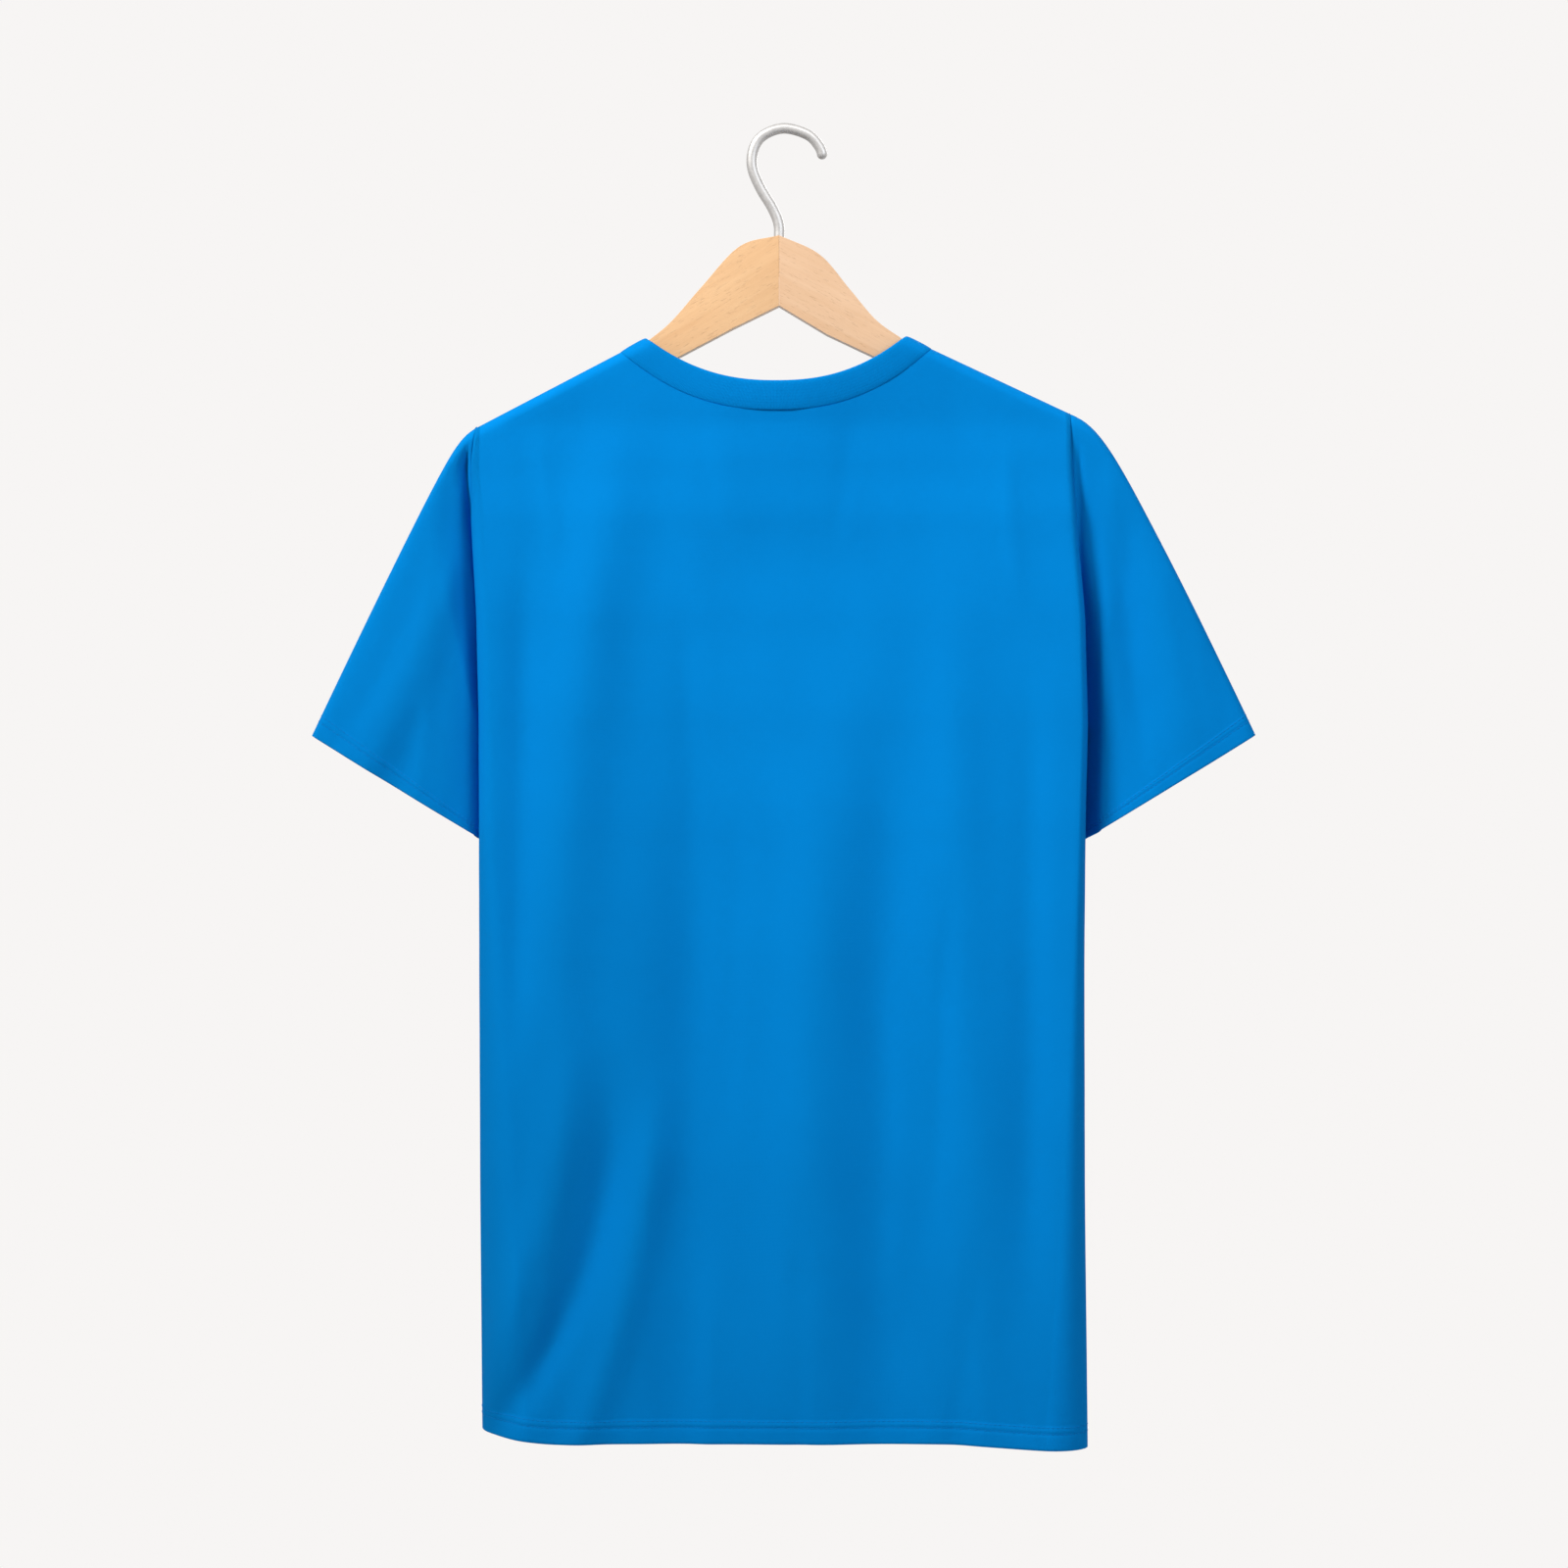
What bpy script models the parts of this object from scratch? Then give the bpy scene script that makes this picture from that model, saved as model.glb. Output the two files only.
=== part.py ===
"""A plain short-sleeved T-shirt hanging on a wooden hanger.

Metres, +Z up. The garment's back faces -Y and its front faces +Y. The origin is the inside of the
hook's crown, where a rail carries the hanger. Both panels hang from the hanger's arms as the two
walls of a flattened tube, and the sleeves are flattened tubes sewn into the armholes.
"""

import math
from collections import namedtuple

import bmesh
import bpy

# Cloth and sewing
CLOTH = 0.0016             # wall of the panels and sleeves
RIB = 0.0024               # wall of the neck rib, which is folded double
RIB_WIDTH = 0.020
RIB_OFFSET = -0.67         # the rib's wall lies mostly inside its line, and a little proud of the panels
SEAM_GAP = 0.0003          # between two pieces that are sewn together
HEM_DEPTH = 0.0155         # turned-up hem of the body and the sleeves
HEM_STEP = 0.0006          # how far the turned-up hem stands proud

# Garment levels
HEM_Z = -0.8735
HEM_SWAY = {"right_drop": 0.0052, "right_from": 0.095, "right_width": 0.100,
            "left_lift": 0.0040, "left_from": 0.150, "left_width": 0.050}   # the hem hangs askew
UNDERARM_Z = -0.398
RIDGE_RADIUS = 0.009       # the cloth's bend over the hanger's arms

# Shoulder lines: a point on each and its fall for each metre outwards
LEFT_SHOULDER = {"x": -0.1048, "z": -0.1447, "slope": 0.523}
RIGHT_SHOULDER = {"x": 0.0917, "z": -0.1416, "slope": 0.468}

# Neckline, measured on its inner edge
NECK_X = -0.0054
NECK_HALF_WIDTH = 0.0873
NECK_POWER = 2.3
BACK_NECK_Z = -0.168
FRONT_NECK_Z = -0.222
SEAM_HALF_WIDTH = NECK_HALF_WIDTH + 0.0177   # the rib's outer edge, 20 mm down the shoulder

# Cross-sections of the body. A panel is flat between two rolled edges. *_x and *_y place an edge's
# outermost point, *_roll is the width of its bend, and *_wrap is how many degrees past that point
# the cloth turns before its seam. mouth is the gap between the two armhole seams.
Section = namedtuple("Section", (
    "z left_x left_y left_roll left_wrap right_x right_y right_roll right_wrap"
    " back_y front_y front_roll mouth"))
SECTIONS = (
    Section(-0.195, -0.2072, -0.0080, 0.003, 0, 0.1925, -0.0080, 0.003, 0,
            -0.0095, 0.0095, 0.004, 0.0160),
    Section(-0.225, -0.2104, -0.0085, 0.006, 25, 0.1940, -0.0090, 0.005, 25,
            -0.0130, 0.0125, 0.009, 0.0165),
    Section(-0.260, -0.2100, -0.0095, 0.009, 50, 0.1966, -0.0105, 0.006, 50,
            -0.0175, 0.0170, 0.014, 0.0190),
    Section(-0.330, -0.2063, -0.0115, 0.010, 65, 0.2020, -0.0130, 0.0055, 65,
            -0.0230, 0.0240, 0.018, 0.0220),
    Section(-0.398, -0.2045, -0.0145, 0.011, 65, 0.2034, -0.0160, 0.0055, 65,
            -0.0280, 0.0300, 0.022, 0.0220),
    Section(-0.470, -0.2042, -0.0160, 0.012, 60, 0.2016, -0.0180, 0.0060, 60,
            -0.0330, 0.0350, 0.026, 0.0220),
    Section(-0.560, -0.2042, -0.0120, 0.018, 20, 0.2006, -0.0215, 0.0090, 30,
            -0.0380, 0.0410, 0.034, 0.0220),
    Section(-0.700, -0.2040, -0.0060, 0.026, 0, 0.2006, -0.0260, 0.0160, 10,
            -0.0460, 0.0500, 0.042, 0.0220),
    Section(-0.880, -0.2026, -0.0040, 0.034, 0, 0.2022, -0.0300, 0.0300, 0,
            -0.0550, 0.0600, 0.050, 0.0220),
)
SECTION_EASE = 0.35        # how far the blend between two rows is eased
MOUTH_ROUND = 0.045        # height over which an armhole closes round its underarm point

# Folds of the hanging cloth: a ridge (+) or trough (-) along a line from top_z to bottom_z, passing
# top_x, middle_x and bottom_x. One that reaches the hem ends below it.
Fold = namedtuple("Fold", "top_z bottom_z top_x middle_x bottom_x half_width height")
BACK_FOLDS = (
    Fold(-0.150, -0.760, -0.104, -0.142, -0.158, 0.026, 0.0076),
    Fold(-0.230, -0.720, -0.082, -0.104, -0.112, 0.030, 0.0022),
    Fold(-0.250, -0.640, -0.176, -0.174, -0.178, 0.010, -0.0030),
    Fold(-0.570, -0.960, -0.140, -0.172, -0.275, 0.016, 0.0055),
    Fold(-0.610, -0.960, -0.122, -0.142, -0.275, 0.012, -0.0052),
    Fold(-0.610, -0.960, -0.083, -0.107, -0.174, 0.014, 0.0050),
    Fold(-0.400, -0.960, -0.060, -0.062, -0.078, 0.021, -0.0046),
    Fold(-0.340, -0.960, 0.022, 0.018, 0.012, 0.030, 0.0062),
    Fold(-0.330, -0.960, 0.068, 0.068, 0.060, 0.021, -0.0038),
    Fold(-0.200, -0.960, 0.104, 0.122, 0.128, 0.020, 0.0032),
    Fold(-0.330, -0.820, 0.165, 0.163, 0.160, 0.012, -0.0025),
)
FRONT_FOLDS = (
    Fold(-0.210, -0.600, -0.128, -0.140, -0.120, 0.020, 0.0040),
    Fold(-0.380, -0.960, -0.092, -0.078, -0.070, 0.020, -0.0070),
    Fold(-0.420, -0.960, -0.044, -0.030, -0.020, 0.024, 0.0070),
    Fold(-0.520, -0.960, 0.012, 0.022, 0.034, 0.018, -0.0070),
    Fold(-0.330, -0.960, 0.066, 0.080, 0.096, 0.022, 0.0065),
    Fold(-0.560, -0.960, 0.120, 0.136, 0.158, 0.016, -0.0060),
    Fold(-0.600, -0.960, -0.130, -0.146, -0.160, 0.015, 0.0060),
    Fold(-0.240, -0.520, 0.138, 0.132, 0.142, 0.018, -0.0030),
)
NECK_BULGE = {"back": 0.010, "front": 0.016}   # how far the neckline stands out from the hanger
NECK_BULGE_WIDTH = 0.070
NECK_BULGE_DROP = 0.070
FOLD_FADE = 0.3            # share of a fold's length over which each end fades out

# Sleeves. tip is the outer corner of the hem, inner its corner beside the body. bulge lifts the upper
# line, which turns down from the shoulder over the share bend. Tuck is how deep the sleeve goes behind
# the body's rolled edge and the slope at which it comes out again, at the shoulder and low down. The
# smaller its square, the fuller its section is beside an ellipse.
Tuck = namedtuple("Tuck", "top_depth top_slope low_depth low_slope")
Sleeve = namedtuple("Sleeve", "side shoulder tip inner bulge bend square tuck folds")
LEFT_SLEEVE = Sleeve(
    -1, (-0.2072, -0.1983), (-0.3172, -0.4055), (-0.1988, -0.4775), 0.0070, 0.044, 0.24,
    Tuck(0.012, 1.25, 0.0050, 1.10),
    (Fold(-0.230, -0.505, -0.212, -0.247, -0.336, 0.014, 0.0036),
     Fold(-0.300, -0.520, -0.216, -0.228, -0.262, 0.018, 0.0024)))
RIGHT_SLEEVE = Sleeve(
    1, (0.1925, -0.1898), (0.3168, -0.4050), (0.1978, -0.4776), 0.0126, 0.060, 0.24,
    Tuck(0.0075, 1.40, 0.026, 2.30),
    (Fold(-0.230, -0.440, 0.222, 0.2325, 0.252, 0.010, -0.0035),
     Fold(-0.260, -0.450, 0.246, 0.262, 0.284, 0.014, 0.0030)))
SLEEVE_DEPTH = {"armhole": 0.012, "hem": 0.021}   # half the flattened tube's depth
SLEEVE_MIDDLE_Y = {"armhole": 0.002, "hem": 0.004}
SLEEVE_OPENS = 0.28        # share of a sleeve over which it opens from the seam to a full tube
SLEEVE_SETTLES = 0.5       # share over which its edge leaves the armhole's own curve
UNDERARM_SWELL = 0.0045    # how far a sleeve's lower line swings out before it falls
UNDERARM_DROP = 1.3        # above 1 the lower line leaves the underarm level and then falls
CREASE_OPENS = 0.02         # share of a sleeve over which the tuck behind the body deepens
CREASE_STARTS = 0.030       # height below the shoulder over which the tuck deepens
CREASE_SOFTNESS = 0.005     # depth over which the tuck blends into the sleeve
LEAST_ROOM = 0.0055         # between the sleeve's two walls, at the tuck

# Hanger: outline points in the plane of the arms, from the middle joint outwards
ARM_THICKNESS = 0.012
ARM_EDGE = 0.0052
ARM_JOINT_X = -0.0033
ARM_JOINT_GAP = 0.0003
ARM_UNDER_CLOTH = 0.0025   # below the shoulder line, under the panels
ARM_UNDER_RIB = 0.0031     # and under the thicker neck rib
LEFT_ARM_TOP = ((-0.0034, -0.0692), (-0.0300, -0.0768), (-0.0550, -0.1034), (-0.0760, -0.1274))
RIGHT_ARM_TOP = ((-0.0032, -0.0692), (0.0240, -0.0822), (0.0445, -0.1058), (0.0620, -0.1262))
ARM_NOTCH_Z = -0.1165
LEFT_ARM = {"neck_x": -0.0935, "end_x": -0.1960, "end_height": 0.0140,
            "under": ((-0.0340, -0.1316), (-0.0920, -0.1622))}
RIGHT_ARM = {"neck_x": 0.0800, "end_x": 0.1850, "end_height": 0.0140,
             "under": ((0.0288, -0.1358), (0.0820, -0.1609))}

# Hook: the wire's centre line, from its tip over the crown and down into the wood
WIRE_RADIUS = 0.0036
HOOK_POINTS = (
    (0.0266, -0.0172), (0.0240, -0.0092), (0.0160, -0.0008), (0.0000, 0.0036), (-0.0140, -0.0012),
    (-0.0205, -0.0105), (-0.0213, -0.0230), (-0.0158, -0.0368), (-0.0080, -0.0498),
    (-0.0036, -0.0610), (-0.0033, -0.0730), (-0.0033, -0.0960))
HOLE_CLEARANCE = 0.0003
HOLE_BOTTOM = -0.0975
HOLE_HEIGHT = 0.040

# Mesh density
ROLL_SHARES = (0.0, 0.04, 0.25, 0.50, 0.75)       # columns of a rolled edge
RIDGE_ANGLES = (0.0, 5.0, 28.0, 52.0, 76.0, 90.0)  # rows over the hanger's arm
SHOULDER_COLUMNS = 5
NECK_END_STEPS = (0.0, 0.0008, 0.0026, 0.0060)     # where the neckline climbs onto the shoulder
NECK_COLUMNS = 12
ARMHOLE_ROWS = 10
LOWER_ROWS = 13
SLEEVE_ROWS = (0.0, 0.015, 0.05, 0.10, 0.17, 0.26, 0.38, 0.52, 0.66, 0.79)
RIB_ROWS = 4


def mix(a, b, share):
    return a + (b - a) * share


def smoothstep(value):
    value = min(1.0, max(0.0, value))
    return value * value * (3.0 - 2.0 * value)


def catmull_rom(points, steps):
    """A smooth line through the points, with so many steps between two of them."""
    first = tuple(2 * a - b for a, b in zip(points[0], points[1]))
    last = tuple(2 * a - b for a, b in zip(points[-1], points[-2]))
    padded = (first, *points, last)
    line = []
    for p0, p1, p2, p3 in zip(padded, padded[1:], padded[2:], padded[3:]):
        for step in range(steps):
            t = step / steps
            line.append(tuple(
                0.5 * (2 * b + (c - a) * t + (2 * a - 5 * b + 4 * c - d) * t * t
                       + (3 * b - a - 3 * c + d) * t ** 3)
                for a, b, c, d in zip(p0, p1, p2, p3)))
    line.append(tuple(points[-1]))
    return line


def section_at(z):
    """The body's cross-section at a height, blended smoothly between the rows of SECTIONS."""
    z = min(SECTIONS[0].z, max(SECTIONS[-1].z, z))
    for upper, lower in zip(SECTIONS, SECTIONS[1:]):
        if z >= lower.z:
            share = (upper.z - z) / (upper.z - lower.z)
            share = mix(share, smoothstep(share), SECTION_EASE)
            return Section(*(mix(a, b, share) for a, b in zip(upper, lower)))
    return SECTIONS[-1]


def ridge_z(x):
    """Height of the shoulder line. Inside the neck it runs on as a roof over the opening."""
    left = LEFT_SHOULDER["z"] + (x - LEFT_SHOULDER["x"]) * LEFT_SHOULDER["slope"]
    right = RIGHT_SHOULDER["z"] - (x - RIGHT_SHOULDER["x"]) * RIGHT_SHOULDER["slope"]
    return min(left, right)


def over_ridge(x, z):
    """Share of its full depth that the cloth has reached this far below the shoulder line."""
    below = (ridge_z(x) - z) / RIDGE_RADIUS
    if below >= 1.0:
        return 1.0
    return math.sqrt(max(0.0, 1.0 - (1.0 - max(0.0, below)) ** 2))


def neck_z(share, half_width, lowest_z):
    """Height of a neckline at a share from -1, its left end, to 1. Its ends lie on the shoulders."""
    ends = mix(ridge_z(NECK_X - half_width), ridge_z(NECK_X + half_width), (share + 1) / 2)
    return mix(ends, lowest_z, 1.0 - abs(share) ** NECK_POWER)


def top_z(x, lowest_neck_z):
    """Upper edge of a panel: the shoulder line, or the neck seam between the shoulders."""
    share = (x - NECK_X) / SEAM_HALF_WIDTH
    if abs(share) >= 1.0:
        return ridge_z(x)
    return neck_z(share, SEAM_HALF_WIDTH, lowest_neck_z - RIB_WIDTH)


def fold_height(folds, x, z):
    total = 0.0
    for fold in folds:
        along = (fold.top_z - z) / (fold.top_z - fold.bottom_z)
        if not 0.0 < along < 1.0:
            continue
        centre = (fold.top_x * (2 * along ** 2 - 3 * along + 1)
                  + fold.middle_x * (4 * along - 4 * along ** 2)
                  + fold.bottom_x * (2 * along ** 2 - along))
        fade = smoothstep(along / FOLD_FADE) * smoothstep((1.0 - along) / FOLD_FADE)
        total += fold.height * fade * math.exp(-((x - centre) / fold.half_width) ** 2)
    return total


def neck_bulge(name, x, z):
    across = math.exp(-((x - NECK_X) / NECK_BULGE_WIDTH) ** 2)
    down = smoothstep(1.0 - (ridge_z(NECK_X) - NECK_BULGE_DROP - z) / (2 * NECK_BULGE_DROP))
    return NECK_BULGE[name] * across * down


def hem_step(z):
    return HEM_STEP if z < HEM_Z + HEM_DEPTH else 0.0


def cloth_y(name, x, z, flat_y, weight=1.0):
    """Depth of a panel at a point, with its folds, its hem and its bend over the shoulder."""
    outwards = -1.0 if name == "back" else 1.0
    folds = BACK_FOLDS if name == "back" else FRONT_FOLDS
    raised = fold_height(folds, x, z) + neck_bulge(name, x, z) + hem_step(z)
    return (flat_y + outwards * weight * raised) * over_ridge(x, z)


def seam_point(side, z):
    """Where the back panel's rolled edge ends: the armhole seam, and below it the side seam."""
    s = section_at(z)
    if side < 0:
        x, y, roll, wrap = s.left_x, s.left_y, s.left_roll, s.left_wrap
    else:
        x, y, roll, wrap = s.right_x, s.right_y, s.right_roll, s.right_wrap
    turn = math.radians(wrap)
    return (x - side * roll * (1 - math.cos(turn)),
            y + (y - s.back_y) * math.sin(turn))


def mouth_at(z):
    """Distance between the back and front armhole seams. It closes at the underarm."""
    above = (z - UNDERARM_Z) / MOUTH_ROUND
    if above <= 0.0:
        return 0.0
    rounded = math.sqrt(1.0 - (1.0 - min(1.0, above)) ** 2)
    return section_at(z).mouth * rounded


def back_point(side, share, z):
    """A point of the back panel: share runs over the left roll, the flat or the right roll."""
    s = section_at(z)
    if side == 0:
        x = mix(s.left_x + s.left_roll, s.right_x - s.right_roll, share)
        return x, cloth_y("back", x, z, s.back_y)
    if side < 0:
        edge_x, edge_y, roll, wrap = s.left_x, s.left_y, s.left_roll, s.left_wrap
    else:
        edge_x, edge_y, roll, wrap = s.right_x, s.right_y, s.right_roll, s.right_wrap
    turn = math.radians(mix(-wrap, 90.0, share))
    x = edge_x - side * roll * (1 - math.cos(turn))
    flat_y = edge_y - (edge_y - s.back_y) * math.sin(turn)
    return x, cloth_y("back", x, z, flat_y, max(0.0, math.sin(turn)))


def front_point(side, share, z):
    """A point of the front panel, which starts at the back panel's seam."""
    s = section_at(z)
    left_x, left_y = seam_point(-1, z)
    right_x, right_y = seam_point(1, z)
    if side == 0:
        x = mix(left_x + s.front_roll, right_x - s.front_roll, share)
        return x, cloth_y("front", x, z, s.front_y)
    seam_x, seam_y = (left_x, left_y) if side < 0 else (right_x, right_y)
    seam_y += mouth_at(z) + SEAM_GAP
    turn = math.radians(90.0 * share)
    x = seam_x - side * s.front_roll * (1 - math.cos(turn))
    flat_y = mix(seam_y, s.front_y, math.sin(turn))
    return x, cloth_y("front", x, z, flat_y, math.sin(turn))


def neck_shares():
    """Places along the neck seam from -1 to 1, close together where it climbs onto the shoulders."""
    ends = [step / SEAM_HALF_WIDTH for step in NECK_END_STEPS]
    first = -1.0 + ends[-1]
    middle = [mix(first, -first, step / NECK_COLUMNS) for step in range(1, NECK_COLUMNS)]
    return [end - 1.0 for end in ends] + middle + [1.0 - end for end in reversed(ends)]


def flat_tops(point_at):
    """Where the flat columns of a panel start along its upper edge, from left to right."""
    left, _ = point_at(0, 0.0, SECTIONS[0].z)
    right, _ = point_at(0, 1.0, SECTIONS[0].z)
    neck = [NECK_X + SEAM_HALF_WIDTH * share for share in neck_shares()]
    steps = [step / SHOULDER_COLUMNS for step in range(SHOULDER_COLUMNS)]
    left_part = [mix(left, neck[0], share) for share in steps]
    right_part = [mix(right, neck[-1], share) for share in reversed(steps)]
    return left_part + neck + right_part


def settled(x, y, z):
    """A point of a panel, drawn down at the right and up at the left, more and more towards the hem."""
    below = min(1.0, max(0.0, (UNDERARM_Z - z) / (UNDERARM_Z - HEM_Z)))
    dip = HEM_SWAY["right_drop"] * smoothstep((x - HEM_SWAY["right_from"]) / HEM_SWAY["right_width"])
    dip -= HEM_SWAY["left_lift"] * smoothstep((-x - HEM_SWAY["left_from"]) / HEM_SWAY["left_width"])
    return x, y, z - dip * below ** 2


def roll_column(point_at, side, share):
    """A column of a rolled edge, with its top found by a few repeated readings of the shoulder line."""
    z = SECTIONS[0].z
    for _ in range(12):
        x, _ = point_at(side, share, z)
        z = ridge_z(x)
    return [settled(*point_at(side, share, height), height) for height in column_heights(z)]


def flat_column(point_at, x, lowest_neck_z):
    """A column of a panel's flat from its place on the upper edge."""
    top = top_z(x, lowest_neck_z)
    left, _ = point_at(0, 0.0, top)
    right, _ = point_at(0, 1.0, top)
    share = (x - left) / (right - left)
    return [settled(*point_at(0, share, height), height) for height in column_heights(top)]


def column_heights(top):
    """Heights down a column: over the ridge, down to the underarm, then to the hem and its step."""
    over = [top - RIDGE_RADIUS * (1 - math.cos(math.radians(angle))) for angle in RIDGE_ANGLES]
    armhole = [mix(over[-1], UNDERARM_Z, math.sin(math.pi / 2 * row / ARMHOLE_ROWS))
               for row in range(1, ARMHOLE_ROWS + 1)]
    hem_top = HEM_Z + HEM_DEPTH
    lower = [mix(UNDERARM_Z, hem_top + HEM_STEP, row / LOWER_ROWS) for row in range(1, LOWER_ROWS + 1)]
    return over + armhole + lower + [hem_top - HEM_STEP, HEM_Z]


def panel_grid(name, point_at, lowest_neck_z):
    """All columns of a panel, with its upper edges kept half a seam gap from the other panel's."""
    outwards = -1.0 if name == "back" else 1.0
    grid = [roll_column(point_at, -1, share) for share in ROLL_SHARES]
    grid += [flat_column(point_at, x, lowest_neck_z) for x in flat_tops(point_at)]
    grid += [roll_column(point_at, 1, share) for share in reversed(ROLL_SHARES)]
    for column in grid:
        x, y, z = column[0]
        column[0] = (x, outwards * max(outwards * y, SEAM_GAP / 2), z)
    return grid


def surface_object(name, grid, material, closed=False, flip=False):
    """An open surface from columns of points, as a named object."""
    mesh = bmesh.new()
    columns = [[mesh.verts.new(point) for point in column] for column in grid]
    pairs = list(zip(columns, columns[1:]))
    if closed:
        pairs.append((columns[-1], columns[0]))
    for left, right in pairs:
        for a, b, c, d in zip(left, right, right[1:], left[1:]):
            mesh.faces.new((d, c, b, a) if flip else (a, b, c, d))
    data = bpy.data.meshes.new(name)
    mesh.to_mesh(data)
    mesh.free()
    data.shade_smooth()
    return place(name, data, material)


def place(name, data, material):
    made = bpy.data.objects.new(name, data)
    GARMENT.objects.link(made)
    made.data.materials.append(material)
    return made


def give_wall(made, thickness, offset=-1.0):
    wall = made.modifiers.new("wall", "SOLIDIFY")
    wall.thickness = thickness
    wall.offset = offset
    wall.use_even_offset = False
    return made


def material_of(name, colour, roughness, metallic=0.0):
    made = bpy.data.materials.new(name)
    made.use_nodes = True
    shader = made.node_tree.nodes["Principled BSDF"]
    shader.inputs["Base Color"].default_value = (*colour, 1.0)
    shader.inputs["Roughness"].default_value = roughness
    shader.inputs["Metallic"].default_value = metallic
    return made


def make_back_panel(material):
    grid = panel_grid("back", back_point, BACK_NECK_Z)
    return give_wall(surface_object("back_panel", grid, material, flip=True), CLOTH)


def make_front_panel(material):
    grid = panel_grid("front", front_point, FRONT_NECK_Z)
    return give_wall(surface_object("front_panel", grid, material), CLOTH)


def armhole_line(point_at, side):
    """The armhole seam of one panel, from the shoulder down to the underarm."""
    count = len(RIDGE_ANGLES) + ARMHOLE_ROWS
    return roll_column(point_at, side, 0.0)[:count]


def armhole_loop(side):
    """Points round an armhole as (share, outwards, point): down its back seam and up its front one."""
    back = armhole_line(back_point, side)
    front = armhole_line(front_point, side)
    top, bottom = back[0][2], back[-1][2]
    loop = [((top - point[2]) / (top - bottom), -1.0, point) for point in back]
    loop += [((top - point[2]) / (top - bottom), 1.0, point) for point in front[-2:0:-1]]
    return loop


def clear_of_body(sleeve, x, y, z, row, far_y):
    """Keeps a sleeve's near wall behind the body's rolled edge, as the deep crease beside it."""
    s = section_at(z)
    edge_x, edge_y, roll = ((s.left_x, s.left_y, s.left_roll) if sleeve.side < 0
                            else (s.right_x, s.right_y, s.right_roll))
    outside = sleeve.side * (x - edge_x)
    tuck = sleeve.tuck
    lower = smoothstep((z - SECTIONS[1].z) / (UNDERARM_Z - SECTIONS[1].z))
    if outside >= 0.0:
        limit = edge_y - mix(tuck.top_slope, tuck.low_slope, lower) * outside
    else:
        turn = math.acos(max(-1.0, 1.0 + outside / roll))
        limit = edge_y + (edge_y - s.back_y) * math.sin(turn)
    deep = mix(tuck.top_depth, tuck.low_depth, lower) * smoothstep(row / CREASE_OPENS)
    deep *= smoothstep((sleeve.shoulder[1] - z) / CREASE_STARTS)
    deep = min(deep, max(0.0, far_y - LEAST_ROOM - limit))
    limit = (limit + deep) * over_ridge(x, z)
    near = max(0.0, 1.0 - abs(y - limit) / CREASE_SOFTNESS) * smoothstep(row / CREASE_OPENS)
    return max(y, limit) + near ** 2 * CREASE_SOFTNESS / 4


def sleeve_point(sleeve, place_in_loop, shoulder, underarm, row):
    """A point of a sleeve, on the line from a place in the armhole (row 0) to the hem (row 1)."""
    share, outwards, (seam_x, seam_y, seam_z) = place_in_loop
    profile = (2 * math.sqrt(share * (1 - share))) ** sleeve.square
    if share == 0.0:
        seam_y = 0.0
    rise = sleeve.bulge * (1 - math.exp(-row / sleeve.bend)) * (1 - row ** 1.65)
    run, fall = sleeve.tip[0] - shoulder[0], sleeve.tip[1] - shoulder[2]
    length = math.hypot(run, fall)
    upper_x = mix(shoulder[0], sleeve.tip[0], row) - sleeve.side * rise * fall / length
    upper_z = mix(shoulder[2], sleeve.tip[1], row) + rise * abs(run) / length
    lower_x = mix(underarm[0], sleeve.inner[0], row)
    lower_x += sleeve.side * UNDERARM_SWELL * math.sin(math.pi * row ** 0.7)
    lower_z = mix(underarm[2], sleeve.inner[1], row ** UNDERARM_DROP)
    keep = (1 - smoothstep(row / SLEEVE_SETTLES)) ** 2
    x = mix(upper_x, lower_x, share) + keep * (seam_x - mix(shoulder[0], underarm[0], share))
    x += sleeve.side * SEAM_GAP
    z = mix(upper_z, lower_z, share) + keep * (seam_z - mix(shoulder[2], underarm[2], share))
    depth = mix(SLEEVE_DEPTH["armhole"], SLEEVE_DEPTH["hem"], row)
    if row >= hem_row(sleeve):
        depth += HEM_STEP
    middle = mix(SLEEVE_MIDDLE_Y["armhole"], SLEEVE_MIDDLE_Y["hem"], row)
    folded = fold_height(sleeve.folds, x, z) if outwards < 0 else 0.0
    opened = smoothstep(row / SLEEVE_OPENS)
    far_y = mix(seam_y + mouth_at(seam_z), middle + profile * depth, opened)
    y = mix(seam_y, middle + outwards * profile * (depth + folded), opened)
    if outwards < 0 and row > 0.0:
        y = clear_of_body(sleeve, x, y, z, row, far_y)
    return x, y, z


def hem_row(sleeve):
    """The row where a sleeve's hem begins."""
    return 1.0 - HEM_DEPTH / math.dist(sleeve.shoulder, sleeve.tip)


def make_sleeve(name, sleeve, material):
    hem = hem_row(sleeve)
    rows = [*SLEEVE_ROWS, hem - 0.002, hem + 0.002, 1.0]
    loop = armhole_loop(sleeve.side)
    shoulder = loop[0][2]
    underarm = armhole_line(back_point, sleeve.side)[-1]
    grid = [[sleeve_point(sleeve, step, shoulder, underarm, row) for row in rows] for step in loop]
    made = surface_object(name, grid, material, closed=True, flip=sleeve.side < 0)
    return give_wall(made, CLOTH)


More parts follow.
